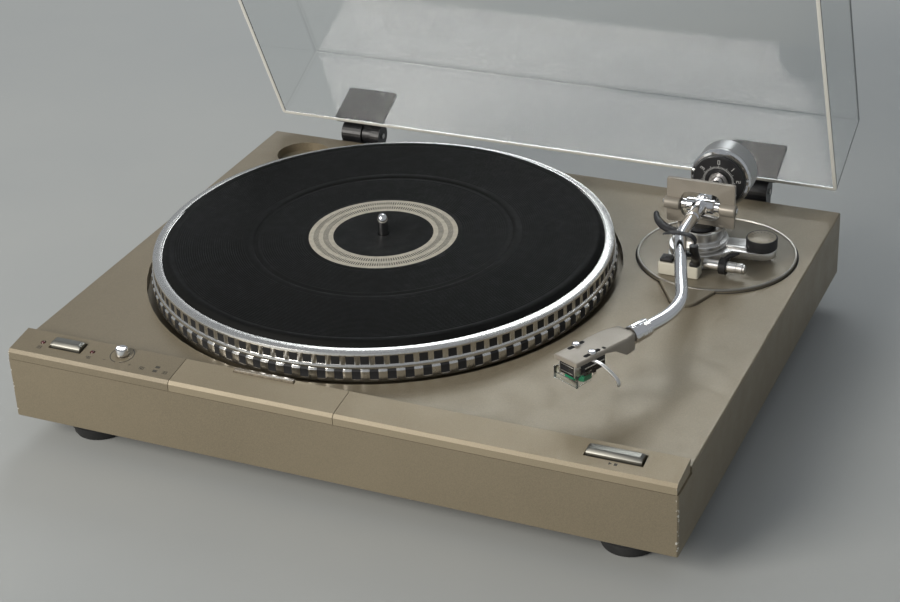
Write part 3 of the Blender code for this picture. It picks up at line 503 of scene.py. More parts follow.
def mat_finish():
    """Dark rubber with fine ribs, dust, and a printed cream ring with rows of grey dots."""
    made = Finish("mat_rubber", (0.012, 0.012, 0.0115), 0.0, 0.62)
    made.set("Specular IOR Level", 0.12)
    radius, turn = made.polar(PLATTER)
    dust = made.noise(140.0, 5.0, 0.7)
    cloud = made.noise(16.0, 4.0)
    base = made.mix(made.span(dust, 0.45, 0.8, 0.0, 0.6), (0.0040, 0.0044, 0.0040),
                    (0.012, 0.012, 0.011))
    base = made.mix(made.span(cloud, 0.45, 0.75, 0.0, 0.35), base, (0.009, 0.009, 0.0083))
    print_ring = made.band(radius, 0.0334, 0.0497)
    inner_row = made.band(radius, 0.0366, 0.0402)
    outer_row = made.band(radius, 0.0431, 0.0466)
    ticks = made.math("LESS_THAN", made.math("FRACT", made.math("MULTIPLY", turn, 150.0)), 0.5)
    outer_ticks = made.math("LESS_THAN", made.math("FRACT", made.math("MULTIPLY", turn, 180.0)),
                            0.5)
    marks = made.math("ADD", made.math("MULTIPLY", inner_row, ticks),
                      made.math("MULTIPLY", outer_row, outer_ticks))
    ink = made.mix(made.span(made.noise(300.0, 3.0), 0.35, 0.75), (0.56, 0.52, 0.43),
                   (0.44, 0.41, 0.34))
    ink = made.mix(marks, ink, (0.07, 0.07, 0.066))
    made.set("Base Color", made.mix(print_ring, base, ink))
    made.set("Roughness", made.span(dust, 0.3, 0.8, 0.52, 0.74))
    made.bump(made.noise(1500.0, 2.0, 0.7), 0.00005, 0.8)
    return made.material


def clear_sheet(name, tint=(0.985, 0.995, 0.99)):
    """Clear acrylic with a faint haze, dust and fine scratches."""
    made = Finish(name, tint, 0.0, 0.02)
    made.set("Transmission Weight", 1.0)
    made.set("IOR", 1.49)
    made.set("Specular IOR Level", 0.18)
    scratch = made.noise(260.0, 6.0, 0.75, stretch=(1.0, 0.12, 1.0))
    dust = made.noise(900.0, 2.0, 0.8)
    made.set("Roughness", made.span(made.math("ADD", scratch, dust), 0.85, 1.5, 0.015, 0.10))
    made.bump(scratch, 0.000004, 0.25)
    return made.material


def lens(name, color):
    """A small glossy tinted moulding, with a clear coat over uneven colour."""
    made = Finish(name, color, 0.0, 0.12)
    depth = made.noise(700.0, 3.0)
    made.set("Base Color", made.mix(made.span(depth, 0.3, 0.8), color,
                                    tuple(c * 2.2 for c in color)))
    made.set("Coat Weight", 0.6)
    made.bump(depth, 0.00001, 0.4)
    return made.material


FINISHES = {}


def make_finishes(look):
    """Every finish, once, by a short name."""
    paint, strip = tuple(look.deck_color), tuple(look.strip_color)
    FINISHES.update({
        "paint": metallic_paint("champagne_deck", paint, tuple(c * 0.86 for c in paint)),
        "strip": metallic_paint("champagne_strip", strip, tuple(c * 0.9 for c in strip), 2000.0),
        "arm_base": metallic_paint("arm_base_paint", (0.215, 0.188, 0.138), (0.185, 0.162, 0.12),
                                   2200.0, False),
        "satin": metallic_paint("satin_champagne", (0.30, 0.27, 0.225), (0.26, 0.235, 0.195),
                                2600.0, False),
        "lip": bare_metal("plate_lip", (0.42, 0.40, 0.36), (0.26, 0.42)),
        "silver": bare_metal("satin_aluminium", (0.80, 0.79, 0.77), (0.24, 0.40)),
        "button": bare_metal("button_aluminium", (0.24, 0.235, 0.21), (0.32, 0.48), 700.0,
                             (0.08, 1.0, 1.0), 0.00004),
        "chrome": bare_metal("chrome_plate", (0.86, 0.86, 0.87), (0.04, 0.13), 400.0, None,
                             0.000005, (0.8, 0.8, 0.8)),
        "weight": bare_metal("satin_weight", (0.50, 0.50, 0.49), (0.28, 0.42)),
        "steel": bare_metal("plated_steel", (0.52, 0.51, 0.50), (0.3, 0.5)),
        "black": moulded("black_plastic_fine", (0.010, 0.010, 0.011)),
        "black_gloss": moulded("black_plastic_gloss", (0.008, 0.008, 0.009), (0.16, 0.3), 500.0,
                               0.00001, 1.3),
        "hinge_black": moulded("black_enamel", (0.012, 0.012, 0.013), (0.28, 0.45), 800.0,
                               0.00002, 1.4),
        "rubber": moulded("foot_rubber", (0.014, 0.014, 0.014), (0.6, 0.8), 700.0, 0.00006, 2.0),
        "cream": moulded("cream_plastic_fine", (0.60, 0.57, 0.47), (0.35, 0.5), 900.0, 0.00002,
                         1.05),
        "green": moulded("green_plastic_fine", (0.0, 0.22, 0.10), (0.3, 0.45), 900.0, 0.00002,
                         1.2),
        "ink": moulded("printed_ink", (0.05, 0.045, 0.035), (0.5, 0.7), 1500.0, 0.00001, 1.4),
        "white_ink": moulded("white_ink", (0.62, 0.62, 0.60), (0.5, 0.7), 1500.0, 0.00001, 1.05),
        # painted shade: a near-black finish for gaps and openings where only shade shows
        "dark": moulded("painted_shade_black", (0.004, 0.004, 0.004), (0.7, 0.9), 900.0, 0.00001, 1.2),
        "clear": clear_sheet("clear_acrylic_sheet"),
        # painted highlight: the cover's frosted cut edge, made pale and opaque for the light that
        # glows along it
        "cut_edge": moulded("acrylic_edge_painted_highlight", (0.74, 0.73, 0.67), (0.25, 0.4), 600.0, 0.00002,
                            1.05),
        "guard": clear_sheet("clear_guard", (0.93, 0.97, 0.95)),
        "lamp": lens("lamp_red_lens", (0.05, 0.006, 0.006)),
        "prism": lens("prism_smoked", (0.13, 0.11, 0.08)),
        "board": moulded("pressed_board_brown", (0.12, 0.085, 0.05), (0.7, 0.9), 300.0, 0.0001,
                         1.3),
        "circuit": moulded("circuit_lacquer", (0.03, 0.13, 0.05), (0.25, 0.4)),
        "copper": bare_metal("wound_copper", (0.62, 0.30, 0.16), (0.25, 0.4), 2500.0,
                             (1.0, 1.0, 8.0), 0.0001),
        "ferrite": moulded("dark_ferrite", (0.03, 0.03, 0.033), (0.5, 0.7), 400.0, 0.00005, 1.6),
        "brass": bare_metal("turned_brass", (0.66, 0.50, 0.22), (0.2, 0.35)),
        "mat": mat_finish(),
        "rim": rim_finish(),
    })


CARRIED_OVER = {
    "cabinet": "paint", "bottom_cover": "board", "control_panel_left": "paint",
    "control_panel_centre": "strip", "control_panel_right": "strip", "strobe_lamp": "lamp",
    "motor_stator": "copper", "motor_plate": "steel", "spindle_bearing": "brass",
    "servo_board": "circuit", "power_transformer": "ferrite", "mains_gland": "black",
    "signal_sockets": "black", "ground_terminal": "steel", "hinge_bracket_left": "hinge_black",
    "hinge_bracket_right": "hinge_black", "hinge_pin_left": "steel", "hinge_pin_right": "steel",
    "rotor_magnet": "ferrite", "yoke_shaft": "steel", "balance_nut": "steel",
    "balance_shaft": "chrome",
}


# ---------------------------------------------------------------- sizes and colours a user changes
class TurntableLook(bpy.types.PropertyGroup):
    """Colours, counts and light that a user of this file is likely to change."""

    deck_color: FloatVectorProperty(
        name="Deck paint", description="Colour of the plinth's metallic paint", subtype="COLOR",
        size=3, min=0.0, max=1.0, default=(0.222, 0.186, 0.126))
    strip_color: FloatVectorProperty(
        name="Strip paint", description="Colour of the front control strip", subtype="COLOR",
        size=3, min=0.0, max=1.0, default=(0.300, 0.252, 0.172))
    upper_dots: IntProperty(
        name="Upper strobe dots", description="Strobe squares in the rim's upper row",
        default=108, min=12, max=360)
    lower_dots: IntProperty(
        name="Lower strobe dots", description="Strobe squares in the rim's lower row",
        default=90, min=12, max=360)
    tube_radius: FloatProperty(
        name="Arm tube radius", description="Radius of the S-shaped tube, in millimetres",
        default=4.0, min=2.0, max=6.0)
    key_power: FloatProperty(
        name="Key light", description="Power of the large soft light", subtype="POWER",
        default=46.0, min=0.0, max=500.0)
    fill_strength: FloatProperty(
        name="Surroundings", description="Brightness of the even light from all round",
        default=0.34, min=0.0, max=10.0)


# ---------------------------------------------------------------- platter
def make_platter(look):
    """The rim: a lathe whose radius steps in and out with the turn to raise the strobe squares.

    The upper row's black squares are let in a little. In the lower row silver blocks stand proud,
    each with a sloping top.
    """
    columns = 1080
    turn = np.arange(columns) / columns
    upper = (turn * look.upper_dots) % 1.0 < 0.62
    lower = (turn * look.lower_dots) % 1.0 < 0.57
    outline = [
        (147.6, 64.6, 0), (147.8, 65.4, 0), (149.0, 65.5, 0), (152.2, 65.1, 0), (153.2, 64.5, 0),
        (153.6, 63.6, 0), (153.6, 62.7, 0), (153.6, 62.5, 1), (153.6, 56.9, 1), (153.6, 56.7, 0),
        (154.3, 56.2, 0), (154.5, 55.6, 0), (154.5, 54.4, 0), (154.2, 53.9, 2), (154.7, 53.5, 2),
        (155.3, 52.9, 2), (155.3, 47.6, 2), (155.1, 47.3, 0), (155.1, 46.0, 0), (154.3, 45.4, 0),
        (149.0, 45.4, 0), (149.0, 59.0, 0), (62.0, 59.0, 0), (62.0, 48.5, 0), (52.0, 48.5, 0),
        (52.0, 58.0, 0), (10.0, 58.0, 0), (10.0, 48.0, 0), (3.9, 48.0, 0), (3.9, 64.4, 0),
        (147.0, 64.4, 0)]
    rows, marks = [], []
    angle = turn * TAU
    for radius, z, kind in outline:
        black = upper if kind == 1 else lower if kind == 2 else np.zeros(columns, bool)
        drop = np.where(black, 0.15 if kind == 1 else 0.35, 0.0)
        r = radius - drop
        rows.append(deck(np.stack((PLATTER[0] + r * np.cos(angle), PLATTER[1] + r * np.sin(angle),
                                   np.full(columns, z)), -1)))
        marks.append(black)
    made = piece("platter_rim", mesh_from_rows(rows, wrap_rows=True), FINISHES["rim"], "platter",
                 ["platter"], sharp=28.0)
    values = np.zeros(len(made.data.polygons), np.float32)
    for i in range(len(rows) - 1):
        both = marks[i] & marks[i + 1]
        here = both & np.roll(both, -1)
        values[i * columns:(i + 1) * columns] = here
    layer = made.data.attributes.new("dots", "FLOAT", "FACE")
    layer.data.foreach_set("value", values)
    make_mat()
    tip = [(0, 81.8), (0.9, 81.7), (1.9, 81.2), (2.7, 80.3), (3.2, 79.0), (3.5, 77.4),
           (3.55, 76.0), (3.55, 20.0), (2.0, 11.3), (0, 11.2)]
    piece("spindle_polished", lathe(tip, PLATTER), FINISHES["chrome"], "platter", ["spindle"])


def make_mat():
    """The rubber mat: a lathe with fine ribs between a raised lip, a step and the label rest."""
    radii = np.arange(92.0, 139.0, 0.5)
    ribs = [(r, 67.75 + 0.13 * math.cos(r * TAU / 1.5)) for r in radii]
    profile = [(3.9, 64.7), (3.9, 67.3), (4.4, 67.5), (50.6, 67.5), (52.0, 67.4), (52.6, 67.3)]
    profile += [(r, 67.32 + 0.1 * math.cos(r * TAU / 1.5)) for r in np.arange(53.5, 83.0, 0.5)]
    profile += [(84.0, 67.3), (85.2, 67.0), (86.4, 67.0), (87.4, 67.7), (88.6, 67.9),
                (90.6, 67.9)]
    profile += ribs
    profile += [(140.0, 67.9), (141.0, 68.3), (142.2, 68.4), (143.6, 68.2), (144.6, 67.6),
                (146.2, 65.8), (147.0, 64.9), (146.8, 64.7)]
    piece("mat_ribbed", lathe(profile, PLATTER, segments=180, closed=True), FINISHES["mat"],
          "platter", ["platter_mat"])


# ---------------------------------------------------------------- plinth, strip and controls
def make_feet():
    """Four stepped rubber feet with a ring of grooves."""
    for name, x, y in (("front_left", -180.5, -146.5), ("front_right", 180.5, -146.5),
                       ("rear_left", -180.5, 146.5), ("rear_right", 180.5, 146.5)):
        profile = [(0, -0.3), (17.6, -0.3), (18.6, -0.9), (19.0, -2.0)]
        for z in (-4.0, -7.0, -10.0):
            profile += [(19.0, z), (18.3, z - 0.4), (18.3, z - 1.0), (19.0, z - 1.4)]
        profile += [(19.0, -13.0), (17.6, -13.8), (17.4, -17.8), (16.6, -19.4), (15.2, -20.0),
                    (6.0, -20.0), (5.4, -18.8), (0, -18.8)]
        piece(f"foot_{name}_grooved", lathe(profile, (x, y), segments=72), FINISHES["rubber"],
              "cabinet", [f"foot_{name}"])


STRIP_FRONT, STRIP_LOW = -177.4, 48.7      # front edge of the sloping strip and its height
STRIP_DEPTH, STRIP_RISE = 21.7, 3.0


def strip_top(y):
    """Height of the sloping strip at y."""
    return STRIP_LOW + (y - STRIP_FRONT) / STRIP_DEPTH * STRIP_RISE


def on_strip(x, y, lift=0.0):
    """A place for flat shapes laid on the sloping strip about the point (x, y)."""
    slope = math.atan2(STRIP_RISE, STRIP_DEPTH)

    def placed(points):
        points = np.asarray(points, float)
        along, height = points[..., 1], points[..., 2] + lift
        return deck(np.stack((x + points[..., 0],
                              y + along * math.cos(slope) - height * math.sin(slope),
                              strip_top(y) + along * math.sin(slope)
                              + height * math.cos(slope)), -1))
    return placed


SEGMENTS = {"0": "abcdef", "1": "bc", "2": "abged", "3": "abgcd", "4": "fgbc", "5": "afgcd"}


def digits(text, height, stroke, place, thick=0.05):
    """Numerals built from short straight strokes, as on a dial."""
    width, gap = height * 0.52, height * 0.24
    ends = {"a": ((0, 1), (1, 1)), "b": ((1, 1), (1, .5)), "c": ((1, .5), (1, 0)),
            "d": ((0, 0), (1, 0)), "e": ((0, 0), (0, .5)), "f": ((0, .5), (0, 1)),
            "g": ((0, .5), (1, .5))}
    skins, start = [], -(len(text) * width + (len(text) - 1) * gap) / 2
    for i, digit in enumerate(text):
        left = start + i * (width + gap)
        for name in SEGMENTS[digit]:
            (x0, y0), (x1, y1) = ends[name]
            low = (left + x0 * width - stroke / 2, (min(y0, y1) - 0.5) * height - stroke / 2, 0)
            high = (left + x1 * width + stroke / 2, (max(y0, y1) - 0.5) * height + stroke / 2,
                    thick)
            skins.append(bar(low, high, 0.012, place))
    return merged(*skins)


def make_controls(look):
    """Push bars with facets, the pitch knob, lamps, legends and the prism."""
    y_mid, y_half = -165.0, 4.0
    top = 53.5
    for name, body, low, high in (("speed", "speed_key", -194.0, -172.5),
                                  ("play_cut", "play_cut_key", 161.8, 195.2)):
        section = soften([(-y_half, -12.0), (-y_half, -2.2), (-1.9, 0.0), (2.9, 0.0),
                          (y_half, -1.0), (y_half, -12.0)], 0.5, 3)
        xs = [low, low + 0.25, low + 1.9, high - 1.9, high - 0.25, high]
        scale = [0.84, 0.97, 1.0, 1.0, 0.97, 0.84]
        rows = []
        for x, size in zip(xs, scale):
            drop = 1.6 if x in (low, high) else 0.9 if size < 1 else 0.0
            rows.append(deck(np.column_stack((np.full(len(section), x),
                                              y_mid + section[:, 0] * size,
                                              np.minimum(top + section[:, 1], top - drop)))))
        piece(f"{name}_bar", mesh_from_rows(rows), FINISHES["button"], body, [f"{name}_button"],
              sharp=25.0)
    x, y = -144.6, -163.4
    z = strip_top(y)
    knob = [(0, z + 4.4), (1.4, z + 4.5), (2.2, z + 5.1), (3.2, z + 5.2), (3.8, z + 4.8),
            (4.15, z + 3.6), (4.3, z + 0.7), (3.2, z + 0.5), (2.6, z - 2.0), (2.6, 37.0), (0, 37.0)]
    fins = bar((x - 3.3, y - 0.7, z + 3.8), (x + 3.3, y + 0.7, z + 5.9), 0.35)
    piece("pitch_knob_turned", merged(lathe(knob, (x, y), segments=48), fins), FINISHES["chrome"],
          "pitch", ["pitch_knob"])
    skins = []
    for start, end in ((150, 265), (-75, 60)):
        curve = [(*point, 0.03) for point in arc((0, 0), 7.6, start, end, 28)]
        skins.append(sweep(curve, rectangle(-0.28, -0.03, 0.28, 0.03), on_strip(x, y, 0.02)))
    plus, minus = on_strip(x + 9.6, y - 7.4, 0.01), on_strip(x - 8.8, y - 7.4, 0.01)
    skins += [bar((-0.9, -0.15, 0), (0.9, 0.15, 0.05), 0.01, plus),
              bar((-0.15, -0.9, 0), (0.15, 0.9, 0.05), 0.01, plus),
              bar((-0.9, -0.15, 0), (0.9, 0.15, 0.05), 0.01, minus)]
    for text, place in (("33", (-201.0, -171.2)), ("45", (-164.6, -171.6)),
                        ("50", (-126.0, -171.6)), ("33", (-109.6, -171.6))):
        skins.append(digits(text, 2.2, 0.36, on_strip(*place, 0.01)))
    for dy in (-168.4, -172.2):
        skins.append(bar((-1.5, -1.0, 0), (1.5, 1.0, 0.06), 0.02, on_strip(-116.4, dy + 0.3, 0.01)))
    triangle = [(-1.6, -1.1), (-1.6, 1.1), (0.5, 0.0)]
    play = on_strip(178.5, -172.4, 0.01)
    skins.append(slab(triangle, 0, 0.05, 0.01, play))
    skins.append(bar((1.6, -1.0, 0), (3.5, 1.0, 0.05), 0.01, play))
    piece("strip_legends", merged(*skins), FINISHES["ink"], "cabinet", ())
    for name, lamp_x in (("speed_lamp_33", -201.0), ("speed_lamp_45", -164.6)):
        z = strip_top(-166.0)
        dome = [(0, z + 0.75), (0.6, z + 0.68), (1.1, z + 0.4), (1.45, z - 0.1), (1.45, 37),
                (0, 37)]
        piece(f"{name}_lens", lathe(dome, (lamp_x, -166.0), segments=32), FINISHES["lamp"],
              "cabinet", [name])
    prism = rectangle(-68.3, -158.7, -27.7, -155.9)
    piece("prism_moulded", slab(soften(prism, 0.6, 3), 44.6, 52.9, 0.35), FINISHES["prism"],
          "cabinet", ["strobe_prism"])


# ---------------------------------------------------------------- arm base and its controls
def arm_plate_outline(grow=0.0):
    """The arm plate's outline: a circle whose front runs out into a round tongue."""
    return (arc(ARM_PLATE, 52.9 + grow, -74, 242, 121)
            + arc((157.0, 26.0), 10 + grow, 202, 338, 21))


def make_arm_base():
    """The painted arm plate with a bright lip, the turned pillar and the anti-skate lug."""
    piece("arm_plate_lipped", slab(arm_plate_outline(-0.25), 44.3, 48.2, 0.7),
          FINISHES["arm_base"], "cabinet", ["arm_base_plate"])
    lip = [(51.2, 48.2), (51.5, 48.7), (52.1, 48.85), (52.6, 48.6), (52.8, 48.0), (52.6, 47.2),
           (51.6, 47.2)]
    ring = lathe(lip, ARM_PLATE, segments=180, closed=True)
    piece("arm_plate_ring", ring, FINISHES["lip"], "cabinet", ())
    # Painted shade: a thin near-black ring laid on the deck round the plate stands for the shadowed
    # gap between plate and deck.
    gap = lathe([(52.9, DECK_TOP - 0.3), (52.9, DECK_TOP + 0.07), (53.8, DECK_TOP + 0.07),
                 (53.8, DECK_TOP - 0.3)], ARM_PLATE, segments=160, closed=True)
    piece("arm_plate_gap_painted_shade", gap, FINISHES["dark"], "cabinet", ())
    pillar = soften([(13.2, 66.0), (13.2, 70.6), (13.6, 71.0), (15.4, 71.0), (15.7, 70.6),
                     (15.7, 64.6), (14.4, 63.9), (14.4, 63.1), (17.9, 62.7), (18.4, 62.2),
                     (18.4, 59.6), (17.8, 59.1), (15.2, 58.8), (15.2, 51.6), (20.4, 50.8),
                     (21.0, 50.2), (21.0, 48.5), (5.0, 48.5), (5.0, 66.0)], 0.35, 3)
    piece("pillar_turned", lathe(pillar, PIVOT[:2], segments=96, closed=True),
          FINISHES["silver"], "cabinet", ["arm_pillar"])
    end = arc(ANTI_SKATE, 9.8, -88, 88, 25)
    hub = arc(PIVOT, 20.4, 42, 318, 61)
    inner = circle(15.6, 64) + np.array(PIVOT[:2])
    lug = holed_slab(np.array(hub + [(172.0, 79.6)] + end + [(172.0, 99.0)]), inner, 52.6, 57.6,
                     0.5, samples=160)
    pin = lathe([(0, 61.0), (1.9, 60.8), (2.0, 57.0), (2.0, 56.0), (0, 56.0)], ANTI_SKATE,
                segments=24)
    pointer = bar((166.5, 83.2, 57.4), (181.0, 87.0, 59.2), 0.4)
    piece("anti_skate_lug_cast", merged(lug, pin, pointer), FINISHES["silver"], "cabinet",
          ["anti_skate_lug"], sharp=25.0)
    knurl = [(0, 64.9), (8.7, 64.9), (9.2, 65.3), (9.7, 65.5), (10.1, 65.2), (10.3, 64.6),
             (10.3, 58.6), (9.9, 58.0), (2.4, 58.0), (2.4, 61.4), (0, 61.4)]
    piece("anti_skate_body", lathe(knurl, ANTI_SKATE, segments=96), FINISHES["black"],
          "anti_skate", ["anti_skate_knob"])
    cap = [(0, 65.45), (9.2, 65.45), (9.5, 65.3), (9.5, 64.8), (0, 64.8)]
    piece("anti_skate_cap", lathe(cap, ANTI_SKATE, segments=64), FINISHES["arm_base"],
          "anti_skate", ())
    scale = []
    for start, stop in zip(arc(ANTI_SKATE, 5.6, -30, 210, 13), arc(ANTI_SKATE, 7.6, -30, 210, 13)):
        scale.append(sweep([(*start, 65.47), (*stop, 65.47)],
                           rectangle(-0.14, -0.03, 0.14, 0.03)))
    piece("anti_skate_scale", merged(*scale), FINISHES["ink"], "anti_skate", ())


def make_cueing():
    """The cue barrel, its black lever, the lift horn, and the rest with its clip and latch."""
    barrel = [(0, 158.8), (2.6, 158.8), (3.1, 159.1), (3.2, 160.2), (3.2, 168.6), (3.5, 168.9),
              (3.5, 177.0), (3.5, 180.6), (3.2, 180.9), (3.2, 182.2), (3.5, 182.5), (3.5, 184.9),
              (2.7, 185.3), (2.7, 186.3), (2.2, 186.6), (0, 186.6)]
    piece("cue_barrel_turned", lathe(barrel, CUE_AXIS, axis="x", segments=40),
          FINISHES["silver"], "cabinet", ["cue_barrel"])
    collar = lathe([(3.9, 169.6), (5.3, 169.6), (5.5, 169.9), (5.5, 174.1), (5.3, 174.4),
                    (3.9, 174.4)], CUE_AXIS, axis="x", segments=40, closed=True)
    handle = sweep(spline([(171.8, 62.8, 58.6), (173.4, 64.0, 60.6), (176.6, 65.4, 62.2),
                           (181.0, 66.6, 63.6)]), oval(1.9, 1.5, 16),
                   scale=taper(25, [0, .3, .6, .9, 1], [1.2, .8, 1.1, .75, .3]))
    piece("cue_lever_moulded", merged(collar, handle), FINISHES["black"], "cueing_lever",
          ["cue_lever"])
    angles = np.radians(np.linspace(-163, -89, 40))
    horn = np.stack((PIVOT[0] + 29.0 * np.cos(angles), PIVOT[1] + 29.0 * np.sin(angles),
                     taper(40, [0, .25, 1], [79.6, 78.4, 78.2])), -1)
    horn[:, 2] -= taper(40, [0, .4, 1], [0.0, 0.5, 0.9])
    size = taper(40, [0, .03, .45, .97, 1], [.55, .8, 1.45, 1.45, 1.2])
    stem = lathe([(0, 77.0), (2.4, 77.0), (2.4, 38.0), (0, 38.0)], (143.8, 56.0), segments=32)
    piece("lift_horn", merged(sweep(horn, oval(2.2, 1.6), scale=size), stem), FINISHES["black"],
          "lift", ["lift_platform"])
    block = soften(rectangle(131.0, 50.0, 158.2, 60.0), 1.6, 4)
    piece("rest_block_moulded", slab(block, 48.5, 57.0, 0.6), FINISHES["cream"], "cabinet",
          ["rest_block"])
    post = sweep(spline([(155.8, 53.6, 58.2), (157.2, 48.0, 65.0), (160.4, 38.0, 71.5),
                         (161.4, 32.6, 75.5), (161.4, 30.4, 80.0), (161.4, 30.0, 83.9)]),
                 oval(2.9, 2.6), up=(0.0, 1.0, 0.2))
    saddle = sweep(spline([(148.0, 30.0, 77.4), (150.2, 30.0, 77.9), (153.2, 30.0, 77.9),
                           (157.4, 30.0, 77.4), (161.0, 30.0, 77.8)]),
                   oval(3.4, 1.45), scale=taper(33, [0, .06, 1], [.5, 1, 1]))
    foot = bar((152.2, 49.6, 57.1), (158.0, 58.6, 60.2), 0.8)
    left = bar((131.9, 51.0, 57.1), (140.4, 59.0, 59.4), 0.5)
    piece("arm_rest_clip", merged(post, saddle, foot, left), FINISHES["black"], "cabinet",
          ["arm_cradle"])
    strap = sweep(spline([(162.4, 30.0, 85.6), (162.0, 30.0, 88.2), (159.6, 30.0, 90.4),
                          (155.0, 30.0, 91.0), (149.0, 30.0, 91.1), (144.6, 30.0, 90.3),
                          (141.2, 30.0, 88.9)]),
                  oval(0.8, 2.6), up=(0.0, 1.0, 0.0),
                  scale=taper(49, [0, .05, .8, 1], [.9, 1, .95, .5]))
    piece("rest_latch_strap", strap, FINISHES["black"], "latch", ["rest_latch"])


# ---------------------------------------------------------------- tonearm
def arm_point(x, y):
    """A point on the tube's middle line: it falls a little from the pivot to the collar."""
    share = min((PIVOT[1] - y) / (PIVOT[1] + 70.0), 1.0)
    return (x, y, PIVOT[2] + share * (HEAD_ORIGIN[2] - PIVOT[2]))


def head_plan(ahead, side=0.0):
    """The deck-frame x and y of a point given ahead of and beside the headshell's origin."""
    sin, cos = math.sin(HEAD_TURN), math.cos(HEAD_TURN)
    return (HEAD_ORIGIN[0] - sin * ahead + cos * side, HEAD_ORIGIN[1] - cos * ahead - sin * side)


def make_gimbal():
    """The windowed yoke plate with its two bearing barrels, lock screws and round foot."""
    x, y, z = PIVOT
    outer = soften(rectangle(x - 23, 71.4, x + 23, 102.4), 0.9, 3)
    window = soften(rectangle(x - 13.2, z - 9.5, x + 13.2, z + 9.5), 6.4, 8)
    skins = [holed_slab(outer, window, -1.5, 1.5, 0.35, upright(y), samples=240)]
    # Painted shade: the foot is coloured black so that the pillar's cup round it reads dark.
    foot = [(0, 66.3), (9.6, 66.3), (10.0, 66.7), (10.0, 70.4), (8.6, 71.8), (0, 71.9)]
    piece("gimbal_foot_painted_shade", lathe(foot, (x, y), segments=64), FINISHES["black"], "arm_yoke", ())
    for side in (-1, 1):
        barrel = [(0, 13.4), (3.2, 13.4), (4.1, 13.8), (4.2, 14.4), (4.2, 23.4), (3.8, 24.1),
                  (2.3, 24.2), (2.2, 23.6), (0, 23.6)]
        skins.append(lathe([(r, x + side * a) for r, a in barrel], (0, y - 1.6, z), axis="x",
                           segments=40))
    piece("gimbal_cast", merged(*skins), FINISHES["satin"], "arm_yoke", ["gimbal_plate"],
          sharp=28.0)
    tips = []
    for side in (-1, 1):
        screw = [(0, 23.7), (1.9, 23.7), (2.0, 24.8), (1.5, 25.3), (0, 25.4)]
        tips.append(lathe([(r, x + side * a) for r, a in screw], (0, y - 1.6, z), axis="x",
                          segments=24))
    piece("gimbal_screws", merged(*tips), FINISHES["chrome"], "arm_yoke", ())


def make_arm_tube(look):
    """The polished tube as one smooth S-shaped sweep, its hub, and a ring near the pivot."""
    x, y, z = PIVOT
    plan = [(x, y + 8), (x, 70), (149.1, 54), (149.3, 45), (150.2, 37.5), (152.6, 29.5),
            (158.6, 11.5), (164.6, -6.5), (169.6, -20.9), (172.4, -29.0), (174.4, -36.8),
            (175.1, -44.0), (174.6, -51.7), (172.9, -59.9), (170.3, -67.2), head_plan(-14.5),
            head_plan(-8), head_plan(-2)]
    path = spline([arm_point(*p) for p in plan], 8)
    tube = sweep(path, circle(look.tube_radius))
    hub = [(0, -9.5), (4.0, -9.5), (4.6, -9.1), (4.7, -8.6), (4.7, 8.6), (4.6, 9.1), (4.0, 9.5),
           (0, 9.5)]
    rod = [(0, -18.6), (1.1, -18.6), (1.1, 18.6), (0, 18.6)]
    journal = [(0, -13.0), (2.9, -13.0), (3.2, -12.6), (3.2, 12.6), (2.9, 13.0), (0, 13.0)]
    skins = [tube] + [lathe([(r, x + a) for r, a in shape], (0, y, z), axis="x", segments=40)
                      for shape in (hub, rod, journal)]
    rings = []
    for ring_y, size in ((66.5, 4.75), (81.0, 5.6), (90.0, 5.6)):
        ring_z = arm_point(x, ring_y)[2]
        rings.append(lathe([(3.6, ring_y - 1.5), (size - 0.3, ring_y - 1.5), (size, ring_y - 1.1),
                            (size, ring_y + 1.1), (size - 0.3, ring_y + 1.5),
                            (3.6, ring_y + 1.5)], (x + 0.02, 0, ring_z), axis="y", segments=40,
                           closed=True))
    piece("arm_tube_s", merged(*skins, *rings), FINISHES["chrome"], "tonearm", ["arm_tube"],
          sharp=30.0)
    collar_rows = [(4.35, -14.0), (5.3, -14.0), (5.6, -13.6)]
    for ahead in (-12.6, -11.0, -9.4):
        collar_rows += [(5.7, ahead - 0.5), (5.35, ahead - 0.3), (5.35, ahead + 0.3),
                        (5.7, ahead + 0.5)]
    collar_rows += [(5.7, -6.0), (5.3, -5.6), (5.3, -3.6), (5.7, -3.2), (5.7, -0.7),
                    (5.3, -0.2), (4.35, -0.2)]
    collar = lathe(collar_rows, (0, 0, HEAD_ORIGIN[2]), place=head, axis="x", segments=48,
                   closed=True)
    key = bar((-13.0, -0.9, HEAD_ORIGIN[2] + 5.2), (-1.0, 0.9, HEAD_ORIGIN[2] + 6.4), 0.3, head)
    piece("locking_collar_ribbed", merged(collar, key), FINISHES["chrome"], "collar",
          ["locking_collar"], sharp=25.0)


def headshell_skin():
    """A folded sheet: at each station ahead, an inverted U whose sides get shallower forwards."""
    rows = []
    for ahead in [2.0, 3.0, 4.5, 6.5, 9.0, 11.0, 13.0, 15.0, 17.5, 20.0, 23.0, 27.0, 34.0, 42.0,
                  50.3, 51.0, 51.3]:
        left = np.interp(ahead, [2, 9, 14, 51.3], [-7.6, -9.8, -10.9, -11.6])
        right = np.interp(ahead, [2, 9, 14, 51.3], [6.0, 7.4, 7.4, 6.9])
        fall = np.interp(ahead, [2, 11, 20, 27, 51.3], [11.0, 10.4, 4.4, 2.6, 2.6])
        inset_by = 0.35 if ahead in (2.0, 51.3) else 0.1 if ahead == 51.0 else 0.0
        low, top, thick = HEAD_TOP - fall, HEAD_TOP - inset_by, 1.25
        outer = soften([(left + inset_by, low), (left + inset_by, top),
                        (right - inset_by, top), (right - inset_by, low)], 1.7, 6, closed=False)
        inner = soften([(right - thick, low), (right - thick, top - thick),
                        (left + thick, top - thick), (left + thick, low)], 1.0, 6, closed=False)
        profile = np.vstack((outer, inner))
        rows.append(head(np.column_stack((np.full(len(profile), ahead), profile))))
    return mesh_from_rows(rows)


